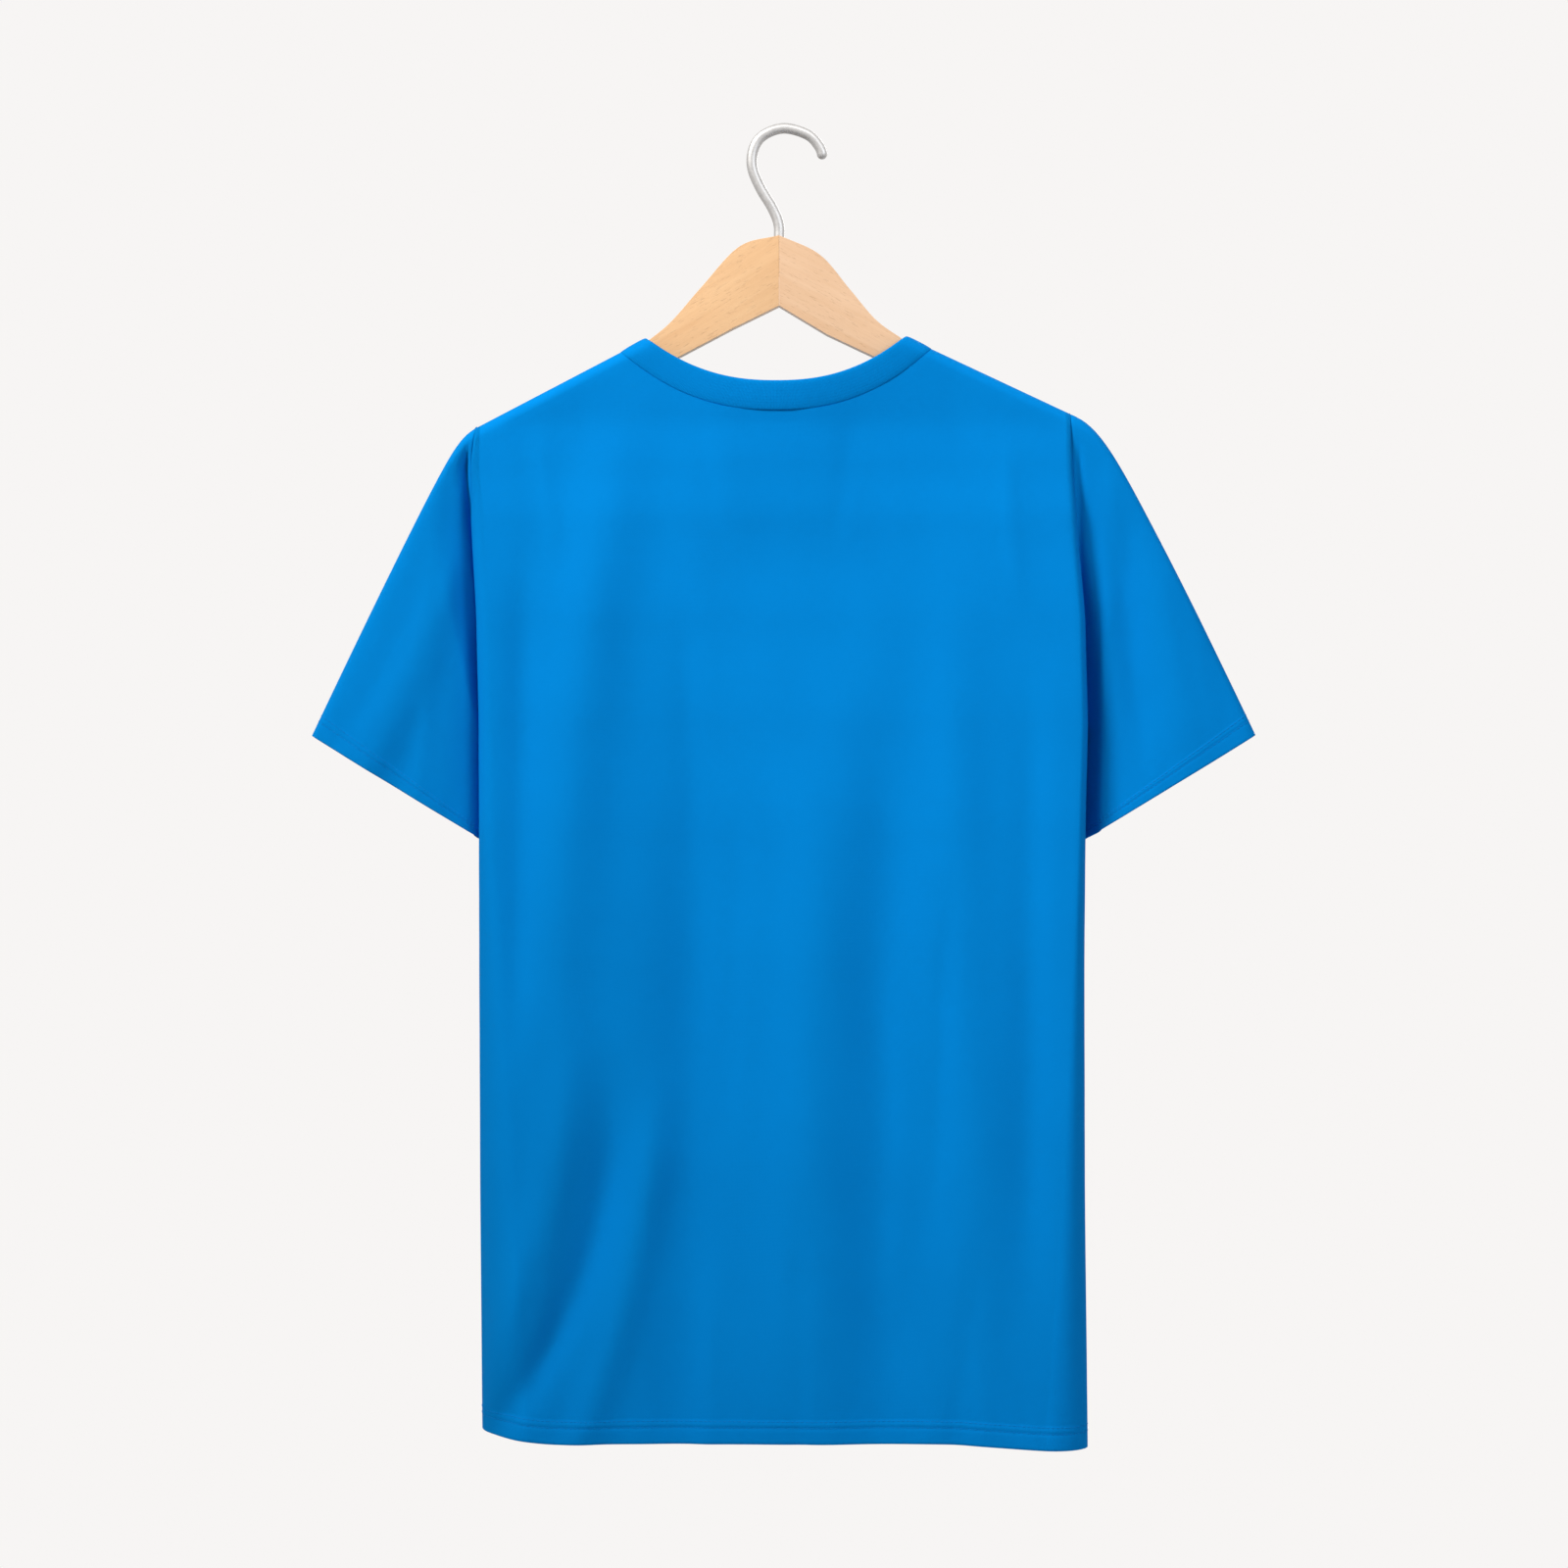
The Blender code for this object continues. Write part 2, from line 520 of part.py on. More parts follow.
def rib_point(name, share, across):
    """A point of the neck rib. share runs from -1 to 1 over one half, across from its inner edge."""
    lowest = BACK_NECK_Z if name == "back" else FRONT_NECK_Z
    inner_x = NECK_X + NECK_HALF_WIDTH * share
    outer_x = NECK_X + SEAM_HALF_WIDTH * share
    inner_z = neck_z(share, NECK_HALF_WIDTH, lowest)
    outer_z = neck_z(share, SEAM_HALF_WIDTH, lowest - RIB_WIDTH)
    x = mix(inner_x, outer_x, across)
    z = mix(inner_z, outer_z, across)
    s = section_at(z)
    flat_y = s.back_y if name == "back" else s.front_y
    return x, cloth_y(name, x, z, flat_y), z


def make_neck_rib(material):
    """One ring of rib knit round the neck, over both shoulders."""
    reach = 1.0 - SEAM_GAP / RIB_WIDTH
    shares = neck_shares()
    stations = [("back", share) for share in shares]
    stations += [("front", share) for share in reversed(shares[1:-1])]
    grid = [[rib_point(name, share, reach * row / RIB_ROWS) for row in range(RIB_ROWS + 1)]
            for name, share in stations]
    made = surface_object("neck_rib", grid, material, closed=True, flip=True)
    return give_wall(made, RIB, offset=RIB_OFFSET)


def arm_outline(top_points, arm, side):
    """An arm's outline: its curved top, the long slope under the cloth, a round end and its underside."""
    neck_x = arm["neck_x"]
    top = catmull_rom((*top_points, (neck_x, ridge_z(neck_x) - ARM_UNDER_RIB)), 4)
    end_x = arm["end_x"]
    end_top = ridge_z(end_x) - ARM_UNDER_CLOTH
    slope = LEFT_SHOULDER["slope"] if side < 0 else RIGHT_SHOULDER["slope"]
    radius = arm["end_height"] / 2
    lean = math.atan(slope)
    centre_x = end_x - side * math.sin(lean) * radius
    centre_z = end_top - math.cos(lean) * radius
    end = []
    for step in range(7):
        turn = math.pi / 2 - lean - math.pi * step / 6
        end.append((centre_x + side * radius * math.cos(turn), centre_z + radius * math.sin(turn)))
    under = catmull_rom(arm["under"][::-1], 2)
    joint_x = ARM_JOINT_X + side * ARM_JOINT_GAP / 2
    return [(joint_x, top[0][1]), *top[1:], *end, *under, (joint_x, ARM_NOTCH_Z)]


def make_arm(name, top_points, arm, side, material, hole):
    outline = arm_outline(top_points, arm, side)
    mesh = bmesh.new()
    corners = [mesh.verts.new((x, 0.0, z)) for x, z in outline]
    face = mesh.faces.new(corners if side > 0 else corners[::-1])
    face.normal_update()
    data = bpy.data.meshes.new(name)
    mesh.to_mesh(data)
    mesh.free()
    made = place(name, data, material)
    give_wall(made, ARM_THICKNESS, offset=0.0)
    edge = made.modifiers.new("edge", "BEVEL")
    edge.width = ARM_EDGE
    edge.segments = 3
    edge.limit_method = "ANGLE"
    edge.angle_limit = math.radians(50)
    bore = made.modifiers.new("bore", "BOOLEAN")
    bore.object = hole
    return made


def make_hook_hole():
    """Cutter for the bore in the joint between the arms that takes the hook's shank."""
    bpy.ops.mesh.primitive_cylinder_add(
        vertices=16, radius=WIRE_RADIUS + HOLE_CLEARANCE, depth=HOLE_HEIGHT,
        location=(ARM_JOINT_X, 0.0, HOLE_BOTTOM + HOLE_HEIGHT / 2))
    hole = bpy.context.object
    hole.name = "hook_hole"
    for owner in list(hole.users_collection):
        owner.objects.unlink(hole)
    CUTTERS.objects.link(hole)
    hole.hide_render = True
    hole.display_type = "WIRE"
    return hole


def make_hook(material):
    line = catmull_rom(HOOK_POINTS, 5)
    data = bpy.data.curves.new("hanger_hook", "CURVE")
    data.dimensions = "3D"
    data.bevel_depth = WIRE_RADIUS
    data.bevel_resolution = 2
    data.use_fill_caps = True
    spline = data.splines.new("POLY")
    spline.points.add(len(line) - 1)
    for point, (x, z) in zip(spline.points, line):
        point.co = (x, 0.0, z, 1.0)
    return place("hanger_hook", data, material)


for leftover in list(bpy.data.objects):
    bpy.data.objects.remove(leftover, do_unlink=True)

GARMENT = bpy.data.collections.new("t_shirt_on_hanger")
CUTTERS = bpy.data.collections.new("cutters")
bpy.context.scene.collection.children.link(GARMENT)
bpy.context.scene.collection.children.link(CUTTERS)

jersey = material_of("blue_jersey", (0.001, 0.226, 0.624), 0.85)
rib_knit = material_of("blue_rib_knit", (0.002, 0.200, 0.570), 0.88)
beech = material_of("beech", (0.80, 0.53, 0.31), 0.45)
steel = material_of("polished_steel", (0.62, 0.62, 0.60), 0.25, 1.0)

make_back_panel(jersey)
make_front_panel(jersey)
make_sleeve("sleeve_left", LEFT_SLEEVE, jersey)
make_sleeve("sleeve_right", RIGHT_SLEEVE, jersey)
make_neck_rib(rib_knit)
bore_cutter = make_hook_hole()
make_arm("hanger_arm_left", LEFT_ARM_TOP, LEFT_ARM, -1, beech, bore_cutter)
make_arm("hanger_arm_right", RIGHT_ARM_TOP, RIGHT_ARM, 1, beech, bore_cutter)
make_hook(steel)
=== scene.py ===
"""A plain blue T-shirt hanging on a wooden hanger, seen from its back in a pale studio.

Metres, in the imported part's own frame: +Z up, the shirt's back towards -Y, and the origin at the
inside of the hook's crown. The sections follow the shirt as it is cut and sewn, then the hanger.
"""

import math
from collections import namedtuple

import bmesh
import bpy
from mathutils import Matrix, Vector


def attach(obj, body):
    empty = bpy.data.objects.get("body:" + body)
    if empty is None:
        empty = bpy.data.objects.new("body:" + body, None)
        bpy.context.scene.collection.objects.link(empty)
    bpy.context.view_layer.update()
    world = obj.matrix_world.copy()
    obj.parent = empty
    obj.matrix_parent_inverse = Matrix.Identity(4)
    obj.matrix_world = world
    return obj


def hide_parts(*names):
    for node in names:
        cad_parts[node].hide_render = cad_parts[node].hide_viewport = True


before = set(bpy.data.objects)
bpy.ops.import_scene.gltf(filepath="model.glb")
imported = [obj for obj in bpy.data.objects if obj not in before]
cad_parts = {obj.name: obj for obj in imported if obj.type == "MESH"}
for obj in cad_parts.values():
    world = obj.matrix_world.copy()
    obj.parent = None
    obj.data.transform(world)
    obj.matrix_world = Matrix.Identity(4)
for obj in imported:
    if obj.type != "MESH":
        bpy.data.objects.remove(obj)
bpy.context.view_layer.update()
bpy.ops.object.select_all(action="DESELECT")


# ---- Studio -------------------------------------------------------------------------------------
# A camera level with the middle of the shirt, far enough back to see it almost flat. A spotlight
# from the upper left lights the back most, large soft lamps fill in from the other sides, and the
# room is even and pale.
CAMERA_PLACE = (0.0, -2.62, -0.438)
VIEW_WIDTH = 1.048          # width of the view at the shirt's back
VIEW_DISTANCE = 2.60
PALE = (0.930, 0.913, 0.904)
FLOOR_Z = -1.55
FLOOR_RADIUS = 2.9
FLOOR_FADES = 0.8           # radius from which the floor melts into the room
ROOM_LIGHT = 0.16

camera_data = bpy.data.cameras.new("camera")
camera_data.sensor_width = 36.0
camera_data.lens = camera_data.sensor_width * VIEW_DISTANCE / VIEW_WIDTH
camera = bpy.data.objects.new("camera", camera_data)
camera.location = CAMERA_PLACE
camera.rotation_euler = (math.radians(90), 0, 0)
bpy.context.scene.collection.objects.link(camera)
bpy.context.scene.camera = camera
bpy.context.scene.view_settings.view_transform = "Standard"

Lamp = namedtuple("Lamp", "name kind place aim size watts colour")
LAMPS = (
    Lamp("key", "SPOT", (-2.6, -1.8, 2.4), (0.0, 0.0, -0.29), 0.65, 1060, (1.0, 0.99, 0.97)),
    Lamp("top", "AREA", (0.35, -0.95, 1.25), (0.0, 0.0, -0.30), 0.8, 9, (1.0, 1.0, 1.0)),
    Lamp("fill", "AREA", (1.7, -1.9, 0.5), (0.0, 0.0, -0.40), 1.0, 20, (0.84, 0.91, 1.0)),
    Lamp("front", "AREA", (1.2, 2.4, 0.9), (0.0, 0.0, -0.45), 1.6, 34, (1.0, 1.0, 1.0)),
)
KEY_BEAM = 24               # degrees across the key's beam, which fades out towards the hem
for lamp in LAMPS:
    light = bpy.data.lights.new(lamp.name, lamp.kind)
    if lamp.kind == "AREA":
        light.size = lamp.size
    else:
        light.shadow_soft_size = lamp.size
        light.spot_size = math.radians(KEY_BEAM)
        light.spot_blend = 1.0
    light.energy = lamp.watts
    light.color = lamp.colour
    holder = bpy.data.objects.new(lamp.name, light)
    holder.location = lamp.place
    towards = Vector(lamp.aim) - Vector(lamp.place)
    holder.rotation_euler = towards.to_track_quat("-Z", "Y").to_euler()
    bpy.context.scene.collection.objects.link(holder)


def set_inputs(tree, node, inputs):
    """Gives each of a node's inputs its value, or joins it to another node's output."""
    for place, value in inputs.items():
        if isinstance(value, bpy.types.NodeSocket):
            tree.links.new(value, node.inputs[place])
        else:
            node.inputs[place].default_value = value


def add_node(tree, kind, inputs=None, **settings):
    """A node with its settings and its inputs."""
    made = tree.nodes.new(kind)
    for name, value in settings.items():
        setattr(made, name, value)
    set_inputs(tree, made, inputs or {})
    return made


def math_node(tree, operation, *values):
    """The output of a Math node on numbers or other nodes' outputs."""
    made = add_node(tree, "ShaderNodeMath", dict(enumerate(values)), operation=operation)
    return made.outputs["Value"]


def new_material(name):
    """A material, its node tree and its shader."""
    made = bpy.data.materials.new(name)
    made.use_nodes = True
    return made, made.node_tree, made.node_tree.nodes["Principled BSDF"]


room = bpy.data.worlds.new("pale_room")
room.use_nodes = True
bpy.context.scene.world = room
tree = room.node_tree
tree.nodes.clear()
seen = add_node(tree, "ShaderNodeBackground", {"Color": (*PALE, 1.0)})
given = add_node(tree, "ShaderNodeBackground",
                 {"Color": (1.0, 1.0, 1.0, 1.0), "Strength": ROOM_LIGHT})
rays = add_node(tree, "ShaderNodeLightPath").outputs
either = math_node(tree, "MAXIMUM", rays["Is Camera Ray"], rays["Is Glossy Ray"])
chosen = add_node(tree, "ShaderNodeMixShader", {
    "Fac": either, 1: given.outputs["Background"], 2: seen.outputs["Background"]})
add_node(tree, "ShaderNodeOutputWorld", {"Surface": chosen.outputs["Shader"]})

bpy.ops.mesh.primitive_circle_add(vertices=96, radius=FLOOR_RADIUS, fill_type="NGON",
                                  location=(0, 0, FLOOR_Z))
floor = bpy.context.object
floor.name = "floor"
pale_floor, tree, paint = new_material("pale_floor")
where = add_node(tree, "ShaderNodeTexCoord")
reach = add_node(tree, "ShaderNodeVectorMath", {0: where.outputs["Object"]}, operation="LENGTH")
fade = add_node(tree, "ShaderNodeMapRange", {
    "Value": reach.outputs["Value"], "From Min": FLOOR_FADES, "From Max": FLOOR_RADIUS,
    "To Min": 1.0, "To Max": 0.0}, interpolation_type="SMOOTHSTEP")
set_inputs(tree, paint, {"Base Color": (0.90, 0.89, 0.88, 1.0), "Roughness": 0.9,
                         "Alpha": fade.outputs["Result"]})
floor.data.materials.append(pale_floor)


# ---- Back panel ---------------------------------------------------------------------------------
# One piece of single jersey, cut from the shoulder seams and the neck to the hem. It hangs from the
# hanger's arms as the rear wall of a flattened tube, and its sides roll forward to the side seams.
# It is sewn to the sleeves at the armholes, and the lower edge is turned up and stitched twice.
JERSEY = 0.0010             # thickness of the knit
SEAM_TURN = 0.0030          # allowance turned in at a side seam
UPPER_TURN = 0.0010         # allowance turned in along the neck and the shoulders
TURN_COLUMNS = 3            # columns at each end over which that upper allowance grows
TURN_LEAST = 0.05           # share of it at the very end
SEAM_DIP = 0.00035          # how far the cloth is drawn in along a seam
SEAM_STARTS = 0.030         # height below a shoulder over which the turned-in allowance grows
UNDERARM_Z = -0.398
HEM_Z = -0.8735
HEM_SWAY = {"right_drop": 0.0052, "right_from": 0.095, "right_width": 0.100,
            "left_lift": 0.0040, "left_from": 0.150, "left_width": 0.050}   # the hem hangs askew
HEM_TOP = 0.0163            # where the turned-up hem begins, above its lower edge
HEM_LIFT = 0.0006           # how far the doubled cloth stands out
HEM_STEP = 0.0012           # height over which it rises, and over which the lower edge rounds off
HEM_ROUND = 0.0006          # how far the lower edge draws in
STITCH_ROWS = (0.0150, 0.0108)   # heights of the two rows of stitches above the edge
STITCH_DENT = {"depth": 0.00038, "half_width": 0.0009}
PUCKERS = {"height": 0.00022, "middle": 0.0125, "half_width": 0.009,
           "fine": 520, "coarse": 173, "drift": 41, "drift_size": 2.2}   # waves in radians a metre
Wave = namedtuple("Wave", "height across down phase")
SLACK_WAVES = (Wave(0.00028, 61, 9, 0.6), Wave(0.00022, 97, -17, 2.1),
               Wave(0.00016, 21, 43, 0.0), Wave(0.00010, 171, 37, 4.0))

LEFT_SHOULDER = {"x": -0.1048, "z": -0.1447, "slope": 0.523}
RIGHT_SHOULDER = {"x": 0.0917, "z": -0.1416, "slope": 0.468}
RIDGE_RADIUS = 0.009        # the cloth's bend over the hanger's arms
RIDGE_READINGS = 12         # readings of the shoulder line that settle where a rolled edge meets it

NECK_X = -0.0054
NECK_HALF_WIDTH = 0.0873
NECK_POWER = 2.3            # roundness of the neckline: 2 is a parabola, more is flatter below
SEAM_HALF_WIDTH = NECK_HALF_WIDTH + 0.0177
RIB_WIDTH = 0.020
BACK_NECK_Z = -0.168

# Cross-sections of the body at nine heights. A panel is flat between two rolled edges. *_x and *_y
# place an edge's outermost point, *_roll is the width of its bend, *_wrap how many degrees past
# that point it turns before its seam, and mouth the gap between the two armhole seams.
Section = namedtuple("Section", (
    "z left_x left_y left_roll left_wrap right_x right_y right_roll right_wrap"
    " back_y front_y front_roll mouth"))
SECTIONS = (
    Section(-0.195, -0.2072, -0.0080, 0.003, 0, 0.1925, -0.0080, 0.003, 0,
            -0.0095, 0.0095, 0.004, 0.0160),
    Section(-0.225, -0.2104, -0.0085, 0.006, 25, 0.1940, -0.0090, 0.005, 25,
            -0.0130, 0.0125, 0.009, 0.0165),
    Section(-0.260, -0.2100, -0.0095, 0.009, 50, 0.1966, -0.0105, 0.006, 50,
            -0.0175, 0.0170, 0.014, 0.0190),
    Section(-0.330, -0.2063, -0.0115, 0.010, 65, 0.2020, -0.0130, 0.0055, 65,
            -0.0230, 0.0240, 0.018, 0.0220),
    Section(-0.398, -0.2045, -0.0145, 0.011, 65, 0.2034, -0.0160, 0.0055, 65,
            -0.0280, 0.0300, 0.022, 0.0220),
    Section(-0.470, -0.2042, -0.0160, 0.012, 60, 0.2016, -0.0180, 0.0060, 60,
            -0.0330, 0.0350, 0.026, 0.0220),
    Section(-0.560, -0.2042, -0.0120, 0.018, 20, 0.2006, -0.0215, 0.0090, 30,
            -0.0380, 0.0410, 0.034, 0.0220),
    Section(-0.700, -0.2040, -0.0060, 0.026, 0, 0.2006, -0.0260, 0.0160, 10,
            -0.0460, 0.0500, 0.042, 0.0220),
    Section(-0.880, -0.2026, -0.0040, 0.034, 0, 0.2022, -0.0300, 0.0300, 0,
            -0.0550, 0.0600, 0.050, 0.0220),
)
SECTION_EASE = 0.35         # 0 joins the sections by straight lines, 1 by full curves
MOUTH_ROUND = 0.045         # height over which an armhole closes round its underarm point

# A soft ridge (+) or trough (-) along a line from top_z to bottom_z, passing top_x, middle_x and
# bottom_x. One that reaches the hem ends below it.
Fold = namedtuple("Fold", "top_z bottom_z top_x middle_x bottom_x half_width height")
BACK_FOLDS = (
    Fold(-0.150, -0.760, -0.104, -0.142, -0.158, 0.026, 0.0076),
    Fold(-0.230, -0.720, -0.082, -0.104, -0.112, 0.030, 0.0022),
    Fold(-0.250, -0.640, -0.176, -0.174, -0.178, 0.010, -0.0030),
    Fold(-0.570, -0.960, -0.140, -0.172, -0.275, 0.016, 0.0055),
    Fold(-0.610, -0.960, -0.122, -0.142, -0.275, 0.012, -0.0052),
    Fold(-0.610, -0.960, -0.083, -0.107, -0.174, 0.014, 0.0050),
    Fold(-0.400, -0.960, -0.060, -0.062, -0.078, 0.021, -0.0046),
    Fold(-0.340, -0.960, 0.022, 0.018, 0.012, 0.030, 0.0062),
    Fold(-0.330, -0.960, 0.068, 0.068, 0.060, 0.021, -0.0038),
    Fold(-0.200, -0.960, 0.104, 0.122, 0.128, 0.020, 0.0032),
    Fold(-0.330, -0.820, 0.165, 0.163, 0.160, 0.012, -0.0025),
)
BACK_CREASES = (
    Fold(-0.190, -0.300, -0.166, -0.158, -0.150, 0.006, 0.0010),
    Fold(-0.200, -0.330, 0.150, 0.152, 0.160, 0.006, 0.0009),
    Fold(-0.185, -0.270, -0.060, -0.052, -0.046, 0.007, -0.0006),
    Fold(-0.185, -0.280, 0.044, 0.040, 0.034, 0.007, -0.0006),
    Fold(-0.300, -0.520, -0.070, -0.064, -0.062, 0.009, -0.0010),
    Fold(-0.430, -0.700, -0.030, -0.034, -0.040, 0.008, -0.0009),
    Fold(-0.520, -0.820, 0.072, 0.078, 0.070, 0.009, 0.0011),
    Fold(-0.480, -0.760, 0.110, 0.104, 0.096, 0.008, -0.0010),
    Fold(-0.700, -0.960, 0.012, 0.010, 0.016, 0.008, -0.0010),
    Fold(-0.720, -0.960, 0.128, 0.118, 0.104, 0.010, -0.0015),
    Fold(-0.740, -0.960, -0.046, -0.050, -0.058, 0.008, 0.0010),
    Fold(-0.660, -0.900, -0.142, -0.160, -0.184, 0.007, 0.0010),
)
BACK_NECK_BULGE = 0.010     # how far the neckline stands out from the hanger
NECK_BULGE_WIDTH = 0.070
NECK_BULGE_DROP = 0.070
FOLD_FADE = 0.3             # share of a fold's length over which it comes and goes at each end

# Columns of a panel from left to right and its rows from top to bottom
ROLL_SHARES = (0.0, 0.015, 0.04, 0.09, 0.16, 0.24, 0.32, 0.40, 0.49, 0.58, 0.67, 0.76, 0.85, 0.93)
NECK_END_STEPS = (0.0, 0.0004, 0.0010, 0.0020, 0.0034, 0.0052, 0.0075)
SHOULDER_COLUMNS = 26
NECK_COLUMNS = 46
RIDGE_ANGLES = (0, 4, 9, 16, 26, 38, 52, 66, 78, 90)
ARMHOLE_ROWS = 52
LOWER_ROWS = 86
HEM_HEIGHTS = (0.0190, 0.0172, 0.0162, 0.0156, 0.0150, 0.0144, 0.0136, 0.0122, 0.0114, 0.0108,
               0.0102, 0.0094, 0.0074, 0.0050, 0.0028, 0.0012, 0.0004, 0.0)
HEM_INSIDE_ROWS = len(HEM_HEIGHTS) - 3   # rows of the part that is turned up inside


def mix(a, b, share):
    """The value at a share of the way from a to b."""
    return a + (b - a) * share


def smoothstep(value):
    """A soft step from 0 to 1 while the value goes from 0 to 1."""
    value = min(1.0, max(0.0, value))
    return value * value * (3.0 - 2.0 * value)


def section_at(z):
    """The body's cross-section at a height, blended smoothly between the rows of SECTIONS."""
    z = min(SECTIONS[0].z, max(SECTIONS[-1].z, z))
    for upper, lower in zip(SECTIONS, SECTIONS[1:]):
        if z >= lower.z:
            share = (upper.z - z) / (upper.z - lower.z)
            share = mix(share, smoothstep(share), SECTION_EASE)
            return Section(*(mix(a, b, share) for a, b in zip(upper, lower)))
    return SECTIONS[-1]


def ridge_z(x):
    """Height of the shoulder line. Inside the neck it runs on as a roof over the opening."""
    left = LEFT_SHOULDER["z"] + (x - LEFT_SHOULDER["x"]) * LEFT_SHOULDER["slope"]
    right = RIGHT_SHOULDER["z"] - (x - RIGHT_SHOULDER["x"]) * RIGHT_SHOULDER["slope"]
    return min(left, right)


def over_ridge(x, z):
    """Share of its full depth that the cloth has reached this far below the shoulder line."""
    below = (ridge_z(x) - z) / RIDGE_RADIUS
    if below >= 1.0:
        return 1.0
    return math.sqrt(max(0.0, 1.0 - (1.0 - max(0.0, below)) ** 2))


def neck_z(share, half_width, lowest_z):
    """Height of a neckline at a share from -1, its left end, to 1. Both ends are on a shoulder."""
    ends = mix(ridge_z(NECK_X - half_width), ridge_z(NECK_X + half_width), (share + 1) / 2)
    return mix(ends, lowest_z, 1.0 - abs(share) ** NECK_POWER)


def top_z(x, lowest_neck_z):
    """Upper edge of a panel: the shoulder line, or the neck seam between the shoulders."""
    share = (x - NECK_X) / SEAM_HALF_WIDTH
    if abs(share) >= 1.0:
        return ridge_z(x)
    return neck_z(share, SEAM_HALF_WIDTH, lowest_neck_z - RIB_WIDTH)


def fold_height(folds, x, z):
    """Height of the folds at a point. Each follows a curve through its three places."""
    total = 0.0
    for fold in folds:
        along = (fold.top_z - z) / (fold.top_z - fold.bottom_z)
        if not 0.0 < along < 1.0:
            continue
        centre = (fold.top_x * (2 * along ** 2 - 3 * along + 1)
                  + fold.middle_x * (4 * along - 4 * along ** 2)
                  + fold.bottom_x * (2 * along ** 2 - along))
        fade = smoothstep(along / FOLD_FADE) * smoothstep((1.0 - along) / FOLD_FADE)
        total += fold.height * fade * math.exp(-((x - centre) / fold.half_width) ** 2)
    return total


def slack(x, z):
    """Faint unevenness of hanging jersey, from a few long crossing waves."""
    return sum(wave.height * math.sin(wave.across * x + wave.down * z + wave.phase)
               for wave in SLACK_WAVES)


def hem_relief(above, along):
    """Height of a turned-up hem: the doubled cloth, its two sunk rows of stitches and puckers."""
    lift = HEM_LIFT * smoothstep((HEM_TOP - above) / HEM_STEP)
    dents = sum(math.exp(-((above - row) / STITCH_DENT["half_width"]) ** 2) for row in STITCH_ROWS)
    drift = PUCKERS["drift_size"] * math.sin(along * PUCKERS["drift"])
    pucker = math.sin(along * PUCKERS["fine"] + drift) * math.sin(along * PUCKERS["coarse"] + 1.0)
    near = math.exp(-((above - PUCKERS["middle"]) / PUCKERS["half_width"]) ** 2)
    edge = HEM_ROUND * max(0.0, 1.0 - above / HEM_STEP) ** 2
    return lift - STITCH_DENT["depth"] * dents + PUCKERS["height"] * pucker * near - edge


def neck_bulge(height, x, z):
    """How far the neckline stands out, most in its middle and less and less below it."""
    across = math.exp(-((x - NECK_X) / NECK_BULGE_WIDTH) ** 2)
    down = smoothstep(1.0 - (ridge_z(NECK_X) - NECK_BULGE_DROP - z) / (2 * NECK_BULGE_DROP))
    return height * across * down


def back_relief(x, z):
    """How far the back stands out from its plain cross-section."""
    return (fold_height(BACK_FOLDS, x, z) + fold_height(BACK_CREASES, x, z) + slack(x, z)
            + neck_bulge(BACK_NECK_BULGE, x, z) + hem_relief(z - HEM_Z, x))


def roll_sizes(side, z):
    """Place, width and wrap of the body's left (-1) or right (1) rolled edge."""
    s = section_at(z)
    if side < 0:
        return s.left_x, s.left_y, s.left_roll, s.left_wrap
    return s.right_x, s.right_y, s.right_roll, s.right_wrap


def back_point(side, share, z):
    """A point of the back panel: share runs over the left roll, the flat or the right roll."""
    s = section_at(z)
    if side == 0:
        x = mix(s.left_x + s.left_roll, s.right_x - s.right_roll, share)
        return x, (s.back_y - back_relief(x, z)) * over_ridge(x, z)
    edge_x, edge_y, roll, wrap = roll_sizes(side, z)
    turn = math.radians(mix(-wrap, 90.0, share))
    x = edge_x - side * roll * (1 - math.cos(turn))
    flat_y = edge_y - (edge_y - s.back_y) * math.sin(turn)
    weight = max(0.0, math.sin(turn))
    return x, (flat_y - weight * back_relief(x, z)) * over_ridge(x, z)


def neck_shares():
    """Places along the neck seam from -1 to 1, close together where it meets the shoulders."""
    ends = [step / SEAM_HALF_WIDTH for step in NECK_END_STEPS]
    first = -1.0 + ends[-1]
    middle = [mix(first, -first, step / NECK_COLUMNS) for step in range(1, NECK_COLUMNS)]
    return [end - 1.0 for end in ends] + middle + [1.0 - end for end in reversed(ends)]


def column_heights(top):
    """Heights down a column: over the ridge, to the underarm, to the hem and over its stitches."""
    over = [top - RIDGE_RADIUS * (1 - math.cos(math.radians(angle))) for angle in RIDGE_ANGLES]
    armhole = [mix(over[-1], UNDERARM_Z, math.sin(math.pi / 2 * row / ARMHOLE_ROWS))
               for row in range(1, ARMHOLE_ROWS + 1)]
    hem_top = HEM_Z + HEM_HEIGHTS[0]
    lower = [mix(UNDERARM_Z, hem_top, row / LOWER_ROWS) for row in range(1, LOWER_ROWS)]
    return over + armhole + lower + [HEM_Z + height for height in HEM_HEIGHTS]


def settled(x, y, z):
    """A point of a panel, lower at the right and higher at the left, most of all at the hem."""
    below = min(1.0, max(0.0, (UNDERARM_Z - z) / (UNDERARM_Z - HEM_Z)))
    sway = HEM_SWAY
    dip = sway["right_drop"] * smoothstep((x - sway["right_from"]) / sway["right_width"])
    dip -= sway["left_lift"] * smoothstep((-x - sway["left_from"]) / sway["left_width"])
    return x, y, z - dip * below ** 2


def roll_column(point_at, side, share):
    """A column of a rolled edge, from where it meets the shoulder line."""
    z = SECTIONS[0].z
    for _ in range(RIDGE_READINGS):
        x, _ = point_at(side, share, z)
        z = ridge_z(x)
    return [settled(*point_at(side, share, height), height) for height in column_heights(z)]


